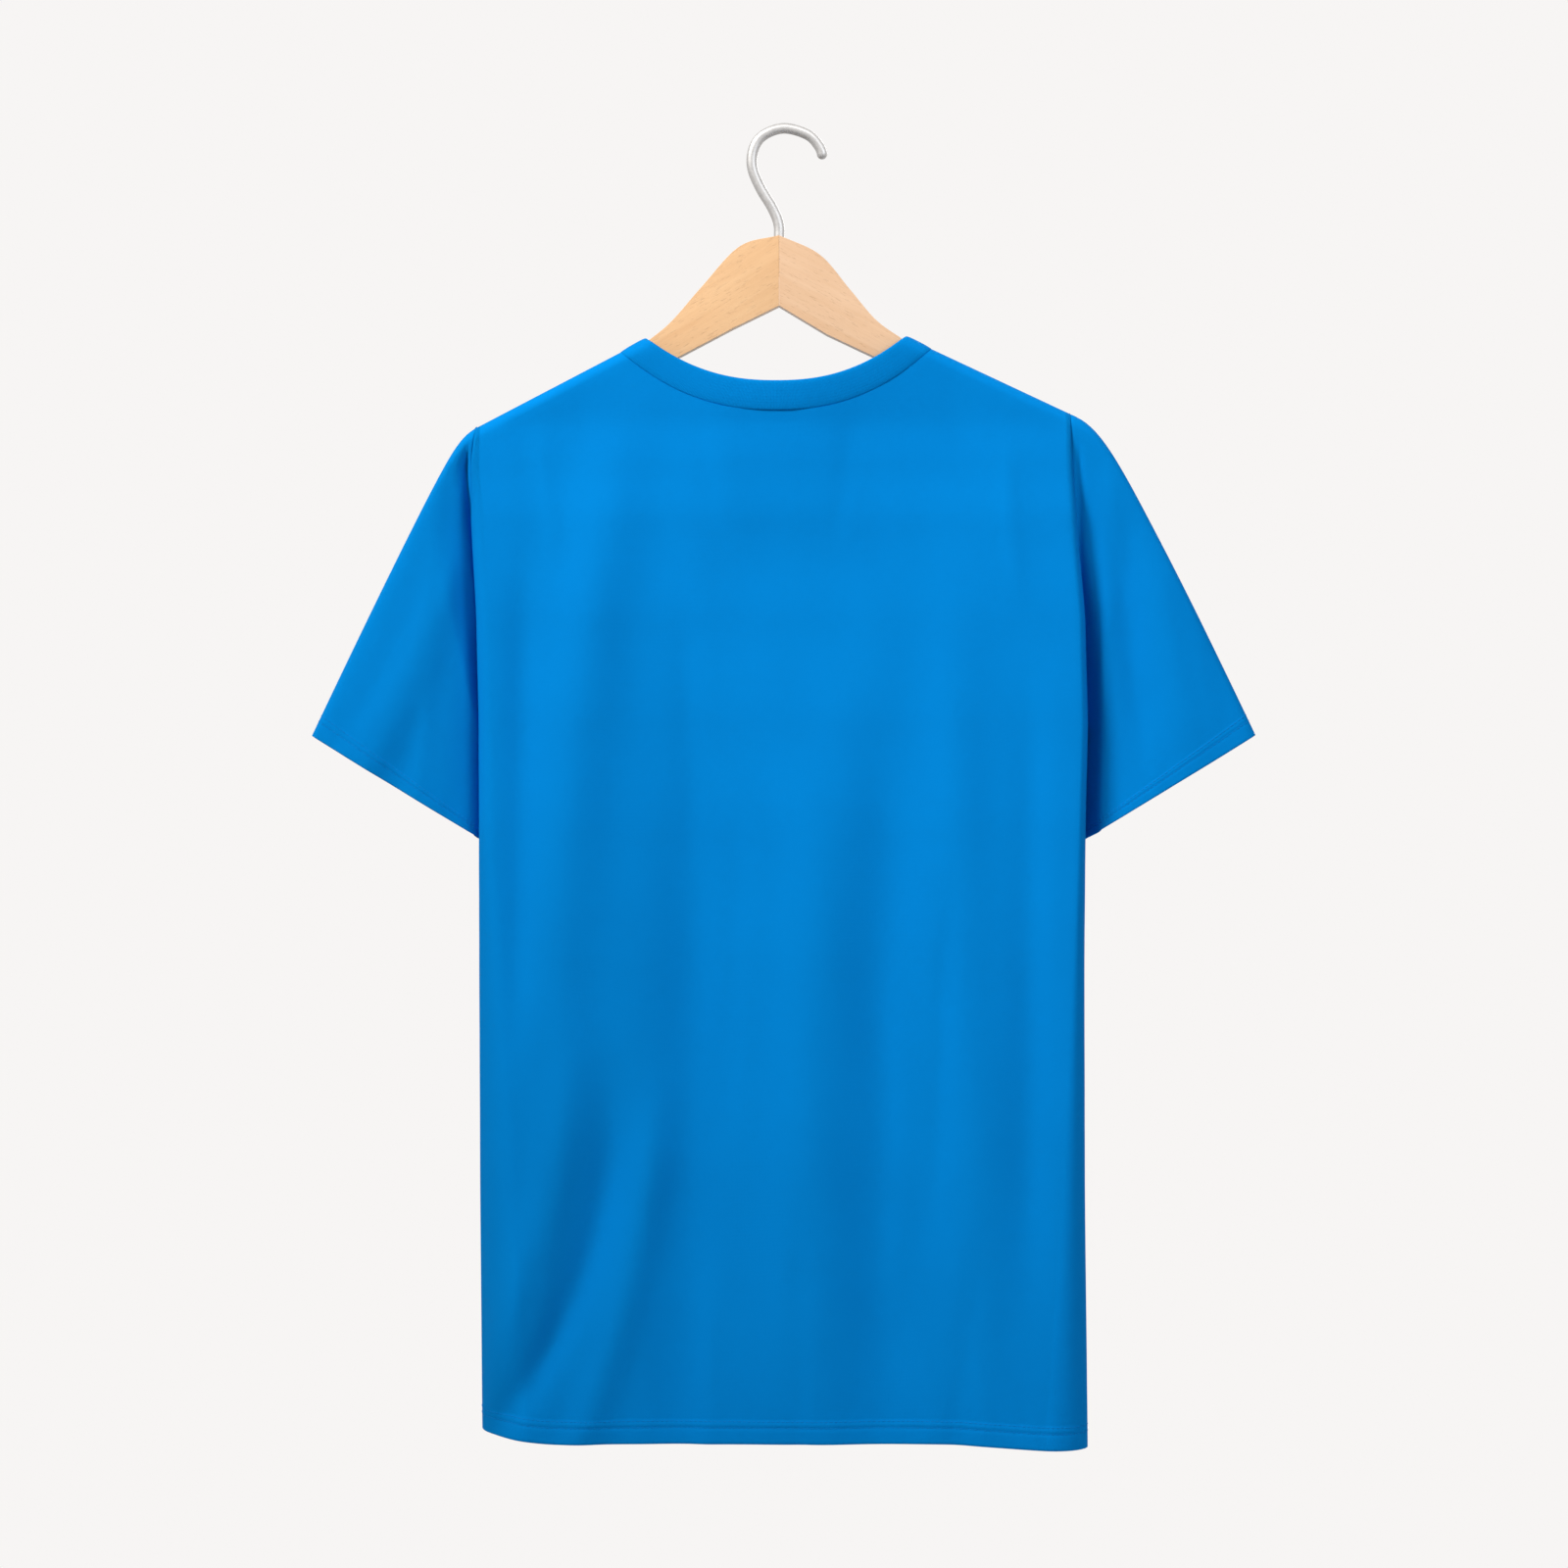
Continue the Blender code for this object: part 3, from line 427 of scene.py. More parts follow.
def flat_column(point_at, x, lowest_neck_z):
    """A column of a panel's flat from its place on the upper edge."""
    top = top_z(x, lowest_neck_z)
    left, _ = point_at(0, 0.0, top)
    right, _ = point_at(0, 1.0, top)
    share = (x - left) / (right - left)
    return [settled(*point_at(0, share, height), height) for height in column_heights(top)]


def panel_columns(point_at, lowest_neck_z):
    """All columns of a panel from its left seam to its right one."""
    left, _ = point_at(0, 0.0, SECTIONS[0].z)
    right, _ = point_at(0, 1.0, SECTIONS[0].z)
    neck = [NECK_X + SEAM_HALF_WIDTH * share for share in neck_shares()]
    steps = [step / SHOULDER_COLUMNS for step in range(SHOULDER_COLUMNS)]
    flat = [mix(left, neck[0], share) for share in steps] + neck
    flat += [mix(right, neck[-1], share) for share in reversed(steps)]
    columns = [roll_column(point_at, -1, share) for share in ROLL_SHARES]
    columns += [flat_column(point_at, x, lowest_neck_z) for x in flat]
    columns += [roll_column(point_at, 1, share) for share in reversed(ROLL_SHARES)]
    return columns


def smooth_object(name, mesh, material):
    """An object of one material from a mesh, smooth all over."""
    data = bpy.data.meshes.new(name)
    mesh.to_mesh(data)
    data.shade_smooth()
    data.materials.append(material)
    made = bpy.data.objects.new(name, data)
    bpy.context.scene.collection.objects.link(made)
    return made


class Cloth:
    """A sheet of knit made from columns of points: its outer face, turned-in seams and hem."""

    def __init__(self, columns, closed=False, flip=False):
        self.mesh = bmesh.new()
        self.uv = self.mesh.loops.layers.uv.new("cloth")
        self.flip = flip
        self.closed = closed
        self.columns = [[self.mesh.verts.new(point) for point in column] for column in columns]
        self.across = self.lengths_across(columns)
        self.down = self.lengths_down(columns)
        for left, right in self.neighbours():
            for row in range(len(self.columns[left]) - 1):
                self.face((left, row), (right, row), (right, row + 1), (left, row + 1))
        self.mesh.normal_update()
        self.normals = [[vert.normal.copy() for vert in column] for column in self.columns]

    def lengths_across(self, columns):
        """Distance across the cloth to each column, measured along a middle row."""
        middle = len(columns[0]) // 2
        total = [0.0]
        for left, right in zip(columns, columns[1:] + columns[:1]):
            total.append(total[-1] + math.dist(left[middle], right[middle]))
        return total

    def lengths_down(self, columns):
        """Distance down the cloth to each row, measured up from the lower edge of each column."""
        every = []
        for column in columns:
            total = [0.0]
            for upper, lower in zip(column[::-1], column[-2::-1]):
                total.append(total[-1] + math.dist(upper, lower))
            every.append(total[::-1])
        return every + every[:1]

    def neighbours(self):
        """Pairs of columns side by side, with the last and the first where the cloth is a tube."""
        pairs = [(index, index + 1) for index in range(len(self.columns) - 1)]
        if self.closed:
            pairs.append((len(self.columns) - 1, len(self.columns)))
        return pairs

    def face(self, *corners):
        """One face of the outer side, with its place in the cloth as the UV, in metres."""
        corners = corners[::-1] if self.flip else corners
        count = len(self.columns)
        made = self.mesh.faces.new([self.columns[column % count][row] for column, row in corners])
        for loop, (column, row) in zip(made.loops, corners):
            loop[self.uv].uv = (self.across[column], self.down[column][row])

    def strip(self, outer, inner, places):
        """Faces from a line of points to the line turned under it."""
        for (a, b), (c, d), (at, past) in zip(zip(outer, outer[1:]), zip(inner, inner[1:]),
                                              zip(places, places[1:])):
            corners = ((a, at), (b, past), (d, past), (c, at))
            if not self.flip:
                corners = corners[::-1]
            made = self.mesh.faces.new([vert for vert, _ in corners])
            for loop, (_, place) in zip(made.loops, corners):
                loop[self.uv].uv = place

    def row(self, number):
        """Points of one row, and the normals there."""
        return ([column[number] for column in self.columns],
                [normals[number] for normals in self.normals])

    def closing(self, line):
        """The line, with its first point again at the end where the cloth is a tube."""
        return line + line[:1] if self.closed else line

    def row_places(self, number):
        """Places in the cloth along one row, all round where the cloth is a tube."""
        count = len(self.columns)
        return [(self.across[index], self.down[index][number])
                for index in range(count + 1 if self.closed else count)]

    def turned(self, line, normals, depths):
        """New points under a line of points, each at its own depth."""
        return [self.mesh.verts.new(vert.co - normal * depth)
                for vert, normal, depth in zip(line, normals, depths)]

    def turn_in_top(self, depth, shoulder_z=None):
        """Turns the upper edge in, less at a flat piece's two ends or near a tube's shoulder."""
        line, normals = self.row(0)
        if shoulder_z is None:
            ends = [min(index, len(line) - 1 - index) / TURN_COLUMNS for index in range(len(line))]
            depths = [depth * max(TURN_LEAST, min(1.0, end)) for end in ends]
        else:
            depths = [depth * smoothstep((shoulder_z - vert.co.z) / SEAM_STARTS) for vert in line]
        inner = self.turned(line, normals, depths)
        self.strip(self.closing(line), self.closing(inner), self.row_places(0))

    def turn_in_side(self, column, depth):
        """Turns the cloth's left or right edge in, little by little from its upper end."""
        line = self.columns[column]
        depths = [depth * smoothstep((line[0].co.z - vert.co.z) / SEAM_STARTS) for vert in line]
        inner = self.turned(line, self.normals[column], depths)
        places = [(self.across[column], along) for along in self.down[column]]
        if column == 0:
            self.strip(line, inner, places)
        else:
            self.strip(inner, line, places)

    def dip_seams(self, sides=()):
        """Draws the cloth in a little along its upper seam and the columns named."""
        seams = [self.row(0)] + [(self.columns[side], self.normals[side]) for side in sides]
        for line, normals in seams:
            for vert, normal in zip(line, normals):
                vert.co -= normal * SEAM_DIP

    def turn_up_hem(self):
        """Folds the lower edge up inside, with room for the cloth between its two layers."""
        before = self.closing(self.row(-1)[0])
        for number in range(-1, -HEM_INSIDE_ROWS - 1, -1):
            line, normals = self.row(number)
            inner = self.closing(self.turned(line, normals, [2 * JERSEY] * len(line)))
            self.strip(inner, before, self.row_places(number))
            before = inner

    def finished(self, name, material):
        """The cloth as an object whose thickness lies inside its outer face."""
        made = smooth_object(name, self.mesh, material)
        bpy.context.view_layer.objects.active = made
        wall = made.modifiers.new("wall", "SOLIDIFY")
        wall.thickness = JERSEY
        wall.offset = -1.0
        bpy.ops.object.modifier_apply(modifier=wall.name)
        return made


STITCH_SLANT = 1.6          # courses that a stitch's leg climbs in the width of one wale


def new_group(name, inputs, outputs):
    """An empty node group with these inputs and their usual values, and these outputs."""
    tree = bpy.data.node_groups.new(name, "ShaderNodeTree")
    for label, value in inputs.items():
        kind = "NodeSocketVector" if isinstance(value, tuple) else "NodeSocketFloat"
        socket = tree.interface.new_socket(label, in_out="INPUT", socket_type=kind)
        socket.default_value = value
    for label in outputs:
        tree.interface.new_socket(label, in_out="OUTPUT", socket_type="NodeSocketFloat")
    return tree, tree.nodes.new("NodeGroupInput").outputs


def noise(tree, place, scale, detail, **more):
    """Soft noise at a place, from about 0 to 1."""
    inputs = {"Vector": place, "Scale": scale, "Detail": detail, **more}
    return add_node(tree, "ShaderNodeTexNoise", inputs).outputs["Fac"]


def colour_between(tree, share, first, second):
    """The first colour where the share is 0, the second where it is 1."""
    inputs = {"Factor": share, "A": first, "B": second}
    return add_node(tree, "ShaderNodeMix", inputs, data_type="RGBA").outputs["Result"]


def bumps(tree, height, distance, strength=1.0):
    """The surface's direction once it is raised by this height."""
    inputs = {"Height": height, "Distance": distance, "Strength": strength}
    return add_node(tree, "ShaderNodeBump", inputs).outputs["Normal"]


def knit_group():
    """Rows of interlocked V-shaped stitches on the cloth's UV, which is in metres."""
    tree, taken = new_group(
        "knit stitches", {"Wales per metre": 900.0, "Courses per metre": 1100.0, "Unevenness": 0.5},
        ("Height", "Yarn", "Drift"))
    place = add_node(tree, "ShaderNodeUVMap", uv_map="cloth").outputs["UV"]
    split = add_node(tree, "ShaderNodeSeparateXYZ", {"Vector": place}).outputs
    wobble = math_node(tree, "SUBTRACT", noise(tree, place, 160.0, 2.0), 0.5)
    sway = math_node(tree, "MULTIPLY", wobble, taken["Unevenness"])
    wales = math_node(tree, "MULTIPLY_ADD", split["X"], taken["Wales per metre"], sway)
    across = math_node(tree, "SUBTRACT", math_node(tree, "FRACT", wales), 0.5)
    leg = math_node(tree, "ABSOLUTE", across)
    courses = math_node(tree, "MULTIPLY", split["Y"], taken["Courses per metre"])
    slanted = math_node(tree, "MULTIPLY_ADD", leg, STITCH_SLANT, courses)
    bead = math_node(tree, "COSINE", math_node(tree, "MULTIPLY", slanted, 2 * math.pi))
    thickness = math_node(tree, "MULTIPLY_ADD", bead, 0.25, 0.75)
    round_leg = math_node(tree, "SINE", math_node(tree, "MULTIPLY", leg, 2 * math.pi))
    yarn = math_node(tree, "MULTIPLY", round_leg, thickness)
    fuzz = noise(tree, place, 2600.0, 3.0)
    add_node(tree, "NodeGroupOutput", {
        "Height": math_node(tree, "MULTIPLY_ADD", fuzz, 0.35, yarn), "Yarn": yarn,
        "Drift": noise(tree, place, 14.0, 4.0)})
    return tree


KNIT = knit_group()


def knit_material(name, colour, shade, wales, courses, depth):
    """Dyed cotton knit with painted shade between its stitches, a faint drift of tone and a soft
    nap.
    """
    made, tree, cloth = new_material(name)
    knit = add_node(tree, "ShaderNodeGroup", {
        "Wales per metre": wales, "Courses per metre": courses}, node_tree=KNIT).outputs
    # Painted shade: the colour falls towards the shade colour where the yarn sinks between the
    # stitches. The drift adds a random tone on top.
    painted_stitch_shade = math_node(tree, "MULTIPLY_ADD", knit["Yarn"], 0.7, 0.25)
    tone = math_node(tree, "MULTIPLY_ADD", knit["Drift"], 0.5, painted_stitch_shade)
    set_inputs(tree, cloth, {
        "Base Color": colour_between(tree, tone, (*shade, 1.0), (*colour, 1.0)),
        "Roughness": 0.88, "Specular IOR Level": 0.03,
        "Sheen Weight": 0.02, "Sheen Roughness": 0.55, "Sheen Tint": (0.05, 0.45, 1.0, 1.0),
        "Normal": bumps(tree, knit["Height"], depth)})
    return made


# The jersey's second colour is the painted shade between its stitches.
jersey = knit_material("blue_jersey", (0.0, 0.245, 0.69), (0.0, 0.185, 0.55), 900, 1150, 0.00012)


def sewn_panel(columns, name, flip=False):
    """A panel of jersey: its columns, and the object with its turned-in edges and its hem."""
    panel = Cloth(columns, flip=flip)
    panel.dip_seams(sides=(0, -1))
    panel.turn_in_top(UPPER_TURN)
    panel.turn_in_side(0, SEAM_TURN)
    panel.turn_in_side(len(columns) - 1, SEAM_TURN)
    panel.turn_up_hem()
    return panel, panel.finished(name, jersey)


back, back_cloth = sewn_panel(panel_columns(back_point, BACK_NECK_Z), "back_of_shirt", flip=True)
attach(back_cloth, "root")
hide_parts("back_panel")


# ---- Front panel --------------------------------------------------------------------------------
# The matching front, with a deeper neck. It hangs a little fuller than the back, meets the back in
# the shoulder seams on top of the arms and in the side seams, and carries the same stitched hem.
FRONT_NECK_Z = -0.222
FRONT_NECK_BULGE = 0.016
FRONT_SLACK_FROM = 0.31     # the front's unevenness and puckers start elsewhere than the back's
FRONT_PUCKERS_FROM = 0.4
FRONT_FOLDS = (
    Fold(-0.210, -0.600, -0.128, -0.140, -0.120, 0.020, 0.0040),
    Fold(-0.380, -0.960, -0.092, -0.078, -0.070, 0.020, -0.0070),
    Fold(-0.420, -0.960, -0.044, -0.030, -0.020, 0.024, 0.0070),
    Fold(-0.520, -0.960, 0.012, 0.022, 0.034, 0.018, -0.0070),
    Fold(-0.330, -0.960, 0.066, 0.080, 0.096, 0.022, 0.0065),
    Fold(-0.560, -0.960, 0.120, 0.136, 0.158, 0.016, -0.0060),
    Fold(-0.600, -0.960, -0.130, -0.146, -0.160, 0.015, 0.0060),
    Fold(-0.240, -0.520, 0.138, 0.132, 0.142, 0.018, -0.0030),
)
FRONT_CREASES = (
    Fold(-0.200, -0.330, -0.160, -0.152, -0.148, 0.006, 0.0010),
    Fold(-0.205, -0.340, 0.148, 0.146, 0.152, 0.006, 0.0009),
    Fold(-0.250, -0.420, -0.056, -0.062, -0.074, 0.008, -0.0009),
    Fold(-0.250, -0.400, 0.046, 0.054, 0.062, 0.008, -0.0009),
    Fold(-0.300, -0.560, -0.004, 0.002, -0.002, 0.010, 0.0010),
    Fold(-0.480, -0.800, -0.110, -0.116, -0.108, 0.008, 0.0011),
    Fold(-0.520, -0.860, 0.052, 0.050, 0.060, 0.008, -0.0010),
    Fold(-0.620, -0.960, 0.108, 0.112, 0.124, 0.008, 0.0011),
    Fold(-0.680, -0.960, -0.052, -0.046, -0.048, 0.008, -0.0010),
    Fold(-0.430, -0.700, 0.168, 0.164, 0.158, 0.009, 0.0012),
)


def front_relief(x, z):
    """How far the front stands out from its plain cross-section."""
    return (fold_height(FRONT_FOLDS, x, z) + fold_height(FRONT_CREASES, x, z)
            + slack(x + FRONT_SLACK_FROM, z) + neck_bulge(FRONT_NECK_BULGE, x, z)
            + hem_relief(z - HEM_Z, x + FRONT_PUCKERS_FROM))


def seam_point(side, z):
    """Where the back panel's rolled edge ends: the armhole seam, and below it the side seam."""
    edge_x, edge_y, roll, wrap = roll_sizes(side, z)
    turn = math.radians(wrap)
    return (edge_x - side * roll * (1 - math.cos(turn)),
            edge_y + (edge_y - section_at(z).back_y) * math.sin(turn))


def mouth_at(z):
    """Distance between the back and front armhole seams. It closes at the underarm."""
    above = (z - UNDERARM_Z) / MOUTH_ROUND
    if above <= 0.0:
        return 0.0
    return section_at(z).mouth * math.sqrt(1.0 - (1.0 - min(1.0, above)) ** 2)


def front_point(side, share, z):
    """A point of the front panel, which starts at the back panel's seam."""
    s = section_at(z)
    left_x, left_y = seam_point(-1, z)
    right_x, right_y = seam_point(1, z)
    if side == 0:
        x = mix(left_x + s.front_roll, right_x - s.front_roll, share)
        return x, (s.front_y + front_relief(x, z)) * over_ridge(x, z)
    seam_x, seam_y = (left_x, left_y) if side < 0 else (right_x, right_y)
    seam_y += mouth_at(z)
    turn = math.radians(90.0 * share)
    x = seam_x - side * s.front_roll * (1 - math.cos(turn))
    flat_y = mix(seam_y, s.front_y, math.sin(turn))
    return x, (flat_y + math.sin(turn) * front_relief(x, z)) * over_ridge(x, z)


front, front_cloth = sewn_panel(panel_columns(front_point, FRONT_NECK_Z), "front_of_shirt")
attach(front_cloth, "root")
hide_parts("front_panel")


# ---- Sleeves ------------------------------------------------------------------------------------
# Each is one piece of the same jersey, closed into a tube under the arm and sewn round the armhole.
# It hangs down and out from the shoulder, flattened, and tucks in behind the body's rolled edge.

# A tuck's depth, and the slope of the cloth beside it, at its top and low down.
Tuck = namedtuple("Tuck", "top_depth top_slope low_depth low_slope")
Sleeve = namedtuple("Sleeve", (
    "name node side shoulder tip inner bulge bend square tuck folds creases"))
# shoulder, tip and inner are corners of the flattened sleeve as (x, z). bulge is how far its upper
# edge rises over the line from shoulder to tip, bend the share over which it does so, and square
# how boxy its cross-section is: 1 is an ellipse, less is squarer.
SLEEVES = (
    Sleeve("left_sleeve", "sleeve_left", -1, (-0.2072, -0.1983), (-0.3172, -0.4055),
           (-0.1988, -0.4775), 0.0070, 0.044, 0.24, Tuck(0.012, 1.25, 0.0050, 1.10),
           (Fold(-0.230, -0.505, -0.212, -0.247, -0.336, 0.014, 0.0036),
            Fold(-0.300, -0.520, -0.216, -0.228, -0.262, 0.018, 0.0024)),
           (Fold(-0.215, -0.330, -0.222, -0.226, -0.236, 0.006, -0.0010),
            Fold(-0.255, -0.480, -0.226, -0.259, -0.345, 0.011, 0.0015),
            Fold(-0.340, -0.470, -0.238, -0.240, -0.252, 0.006, 0.0010))),
    Sleeve("right_sleeve", "sleeve_right", 1, (0.1925, -0.1898), (0.3168, -0.4050),
           (0.1978, -0.4776), 0.0126, 0.060, 0.24, Tuck(0.0075, 1.40, 0.026, 2.30),
           (Fold(-0.230, -0.440, 0.222, 0.2325, 0.252, 0.010, -0.0035),
            Fold(-0.260, -0.450, 0.246, 0.262, 0.284, 0.014, 0.0030)),
           (Fold(-0.215, -0.300, 0.214, 0.222, 0.232, 0.005, 0.0011),
            Fold(-0.290, -0.420, 0.270, 0.280, 0.292, 0.007, 0.0008),
            Fold(-0.330, -0.470, 0.236, 0.244, 0.258, 0.006, 0.0010))),
)
SLEEVE_DEPTH = {"armhole": 0.012, "hem": 0.021}
SLEEVE_MIDDLE_Y = {"armhole": 0.002, "hem": 0.004}
SLEEVE_OPENS = 0.28         # share of a sleeve over which it opens to its full depth
SLEEVE_SETTLES = 0.5        # share over which the armhole's own curve dies out
SHOULDER_FALL = 1.65        # how soon the rise of the shoulder line dies out: more is later
UNDERARM_SWELL = 0.0045
UNDERARM_SWELL_AT = 0.7     # under 1 puts the fullest place nearer to the armhole
UNDERARM_DROP = 1.3
HEM_RELIEF_SHARE = 0.6      # share of the body's hem relief that a cuff has
PUCKER_RUN = {"from": 3.0, "round": 0.18}
FAR_CREASES = {"share": 0.6, "out": 0.008, "up": 0.012}   # the creases again, moved, on the front
CREASE_OPENS = 0.02         # share of a sleeve over which the tuck behind the body deepens
CREASE_STARTS = 0.030       # height below the shoulder over which the tuck deepens
CREASE_SOFTNESS = 0.005     # depth over which the tuck blends into the sleeve
LEAST_ROOM = 0.0055         # between the sleeve's two walls, at the tuck
ARMHOLE_TURN = 0.0020       # allowance turned in round the armhole
FIRST_ROWS = (0.0, 0.004, 0.010)
SLEEVE_ROWS_FROM = 0.018
SLEEVE_ROWS = 46
SLEEVE_ROWS_SPREAD = 1.15   # over 1 puts the rows closer together near the armhole


def armhole_line(point_at, side):
    """The armhole seam of one panel, from the shoulder down to the underarm."""
    return roll_column(point_at, side, 0.0)[:len(RIDGE_ANGLES) + ARMHOLE_ROWS]


def armhole_loop(side):
    """Points round an armhole, down its back seam and up its front one. Each has its share of the
    way down, its direction outwards (-1 at the back, 1 at the front) and its place."""
    back_seam = armhole_line(back_point, side)
    front_seam = armhole_line(front_point, side)[-2:0:-1]
    top, bottom = back_seam[0][2], back_seam[-1][2]
    loop = [((top - point[2]) / (top - bottom), -1.0, point) for point in back_seam]
    return loop + [((top - point[2]) / (top - bottom), 1.0, point) for point in front_seam]


def clear_of_body(sleeve, x, y, z, row, far_y):
    """Keeps a sleeve's near wall behind the body's rolled edge, as the deep crease beside it."""
    edge_x, edge_y, roll, _ = roll_sizes(sleeve.side, z)
    outside = sleeve.side * (x - edge_x)
    tuck = sleeve.tuck
    lower = smoothstep((z - SECTIONS[1].z) / (UNDERARM_Z - SECTIONS[1].z))
    if outside >= 0.0:
        limit = edge_y - mix(tuck.top_slope, tuck.low_slope, lower) * outside
    else:
        turn = math.acos(max(-1.0, 1.0 + outside / roll))
        limit = edge_y + (edge_y - section_at(z).back_y) * math.sin(turn)
    deep = mix(tuck.top_depth, tuck.low_depth, lower) * smoothstep(row / CREASE_OPENS)
    deep *= smoothstep((sleeve.shoulder[1] - z) / CREASE_STARTS)
    deep = min(deep, max(0.0, far_y - LEAST_ROOM - limit))
    limit = (limit + deep) * over_ridge(x, z)
    near = max(0.0, 1.0 - abs(y - limit) / CREASE_SOFTNESS) * smoothstep(row / CREASE_OPENS)
    return max(y, limit) + near ** 2 * CREASE_SOFTNESS / 4


def sleeve_point(sleeve, step, shoulder, underarm, row, length):
    """A point of a sleeve, on the line from a place in the armhole (row 0) to the hem (row 1)."""
    share, outwards, (seam_x, seam_y, seam_z) = step
    profile = (2 * math.sqrt(max(0.0, share * (1 - share)))) ** sleeve.square
    if share == 0.0:
        seam_y = 0.0
    rise = sleeve.bulge * (1 - math.exp(-row / sleeve.bend)) * (1 - row ** SHOULDER_FALL)
    run, fall = sleeve.tip[0] - shoulder[0], sleeve.tip[1] - shoulder[2]
    upper_x = mix(shoulder[0], sleeve.tip[0], row) - sleeve.side * rise * fall / length
    upper_z = mix(shoulder[2], sleeve.tip[1], row) + rise * abs(run) / length
    lower_x = mix(underarm[0], sleeve.inner[0], row)
    lower_x += sleeve.side * UNDERARM_SWELL * math.sin(math.pi * row ** UNDERARM_SWELL_AT)
    lower_z = mix(underarm[2], sleeve.inner[1], row ** UNDERARM_DROP)
    keep = (1 - smoothstep(row / SLEEVE_SETTLES)) ** 2
    x = mix(upper_x, lower_x, share) + keep * (seam_x - mix(shoulder[0], underarm[0], share))
    z = mix(upper_z, lower_z, share) + keep * (seam_z - mix(shoulder[2], underarm[2], share))
    depth = mix(SLEEVE_DEPTH["armhole"], SLEEVE_DEPTH["hem"], row)
    round_hem = PUCKER_RUN["from"] + share * PUCKER_RUN["round"] * outwards
    depth += HEM_RELIEF_SHARE * hem_relief((1.0 - row) * length, round_hem)
    depth += slack(x, z) * smoothstep(row / SLEEVE_OPENS)
    middle = mix(SLEEVE_MIDDLE_Y["armhole"], SLEEVE_MIDDLE_Y["hem"], row)
    if outwards < 0:
        depth += fold_height(sleeve.folds, x, z) + fold_height(sleeve.creases, x, z)
    else:
        moved = (x + sleeve.side * FAR_CREASES["out"], z + FAR_CREASES["up"])
        depth += FAR_CREASES["share"] * fold_height(sleeve.creases, *moved)
    opened = smoothstep(row / SLEEVE_OPENS)
    far_y = mix(seam_y + mouth_at(seam_z), middle + profile * depth, opened)
    y = mix(seam_y, middle + outwards * profile * depth, opened)
    if outwards < 0 and row > 0.0:
        y = clear_of_body(sleeve, x, y, z, row, far_y)
    return x, y, z


def make_sleeve(sleeve):
    """The sleeve's columns run from the armhole to the hem, all round it."""
    loop = armhole_loop(sleeve.side)
    shoulder = loop[0][2]
    underarm = armhole_line(back_point, sleeve.side)[-1]
    length = math.dist((shoulder[0], shoulder[2]), sleeve.tip)
    top_of_hem = 1.0 - HEM_HEIGHTS[0] / length
    spread = [(row / SLEEVE_ROWS) ** SLEEVE_ROWS_SPREAD for row in range(SLEEVE_ROWS)]
    rows = [*FIRST_ROWS, *[mix(SLEEVE_ROWS_FROM, top_of_hem, row) for row in spread]]
    rows += [1.0 - height / length for height in HEM_HEIGHTS]
    columns = [[sleeve_point(sleeve, step, shoulder, underarm, row, length) for row in rows]
               for step in loop]
    return Cloth(columns, closed=True, flip=sleeve.side < 0)


sleeve_cloths = {}
for sleeve in SLEEVES:
    tube = make_sleeve(sleeve)
    tube.dip_seams()
    tube.turn_in_top(ARMHOLE_TURN, shoulder_z=tube.columns[0][0].co.z)
    tube.turn_up_hem()
    made = tube.finished(sleeve.name, jersey)
    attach(made, "root")
    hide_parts(sleeve.node)
    sleeve_cloths[sleeve.name] = (tube, made)


# ---- Neck rib -----------------------------------------------------------------------------------
# A ring of one-by-one rib knit, folded double round the neck and sewn to both panels, so it is
# thicker than they are, with a round inner fold, and its allowance runs on under the panels.
RIB_THICK = 0.0026
RIB_SHARES = neck_shares()
SLOPE_STEP = {"along": 0.002, "across": 0.02}   # shares between two readings of the rib's slope
RibCorner = namedtuple("RibCorner", "across raised")
RIB_OUTLINE = (
    RibCorner(1.000, -0.15), RibCorner(0.985, 0.06), RibCorner(0.94, 0.26), RibCorner(0.85, 0.48),
    RibCorner(0.68, 0.72), RibCorner(0.50, 0.84), RibCorner(0.32, 0.90), RibCorner(0.16, 0.88),
    RibCorner(0.07, 0.74), RibCorner(0.02, 0.48), RibCorner(0.0, 0.10), RibCorner(0.02, -0.28),
    RibCorner(0.07, -0.54), RibCorner(0.18, -0.66), RibCorner(0.50, -0.70), RibCorner(0.80, -0.72),
    RibCorner(0.90, -1.40), RibCorner(1.14, -1.45), RibCorner(1.15, -1.00), RibCorner(1.00, -0.95),
)


def rib_surface(name, share, across):
    """A point of the rib's middle surface. across runs from its inner edge to its seam."""
    lowest = BACK_NECK_Z if name == "back" else FRONT_NECK_Z
    x = NECK_X + mix(NECK_HALF_WIDTH, SEAM_HALF_WIDTH, across) * share
    z = mix(neck_z(share, NECK_HALF_WIDTH, lowest),
            neck_z(share, SEAM_HALF_WIDTH, lowest - RIB_WIDTH), across)
    s = section_at(z)
    if name == "back":
        y = s.back_y - neck_bulge(BACK_NECK_BULGE, x, z)
    else:
        y = s.front_y + neck_bulge(FRONT_NECK_BULGE, x, z)
    return Vector((x, y * over_ridge(x, z), z))


def rib_normal(name, share, across):
    """Outward direction of the rib there, from its slopes along and across it."""
    step = SLOPE_STEP["along"]
    along = (rib_surface(name, min(1.0, share + step), across)
             - rib_surface(name, max(-1.0, share - step), across))
    step = SLOPE_STEP["across"]
    over = rib_surface(name, share, across + step) - rib_surface(name, share, across - step)
    normal = over.cross(along).normalized()
    return normal if name == "back" else -normal


def rib_station(name, share):
    """One cross-section of the rib, all round it. Its allowance vanishes on the shoulders."""
    made = []
    for corner in RIB_OUTLINE:
        across = min(corner.across, 1.0) + max(0.0, corner.across - 1.0) * (1 - share ** 8)
        point = rib_surface(name, share, across)
        normal = rib_normal(name, share, min(0.97, max(0.03, corner.across)))
        made.append(point + normal * RIB_THICK / 2 * corner.raised)
    return made


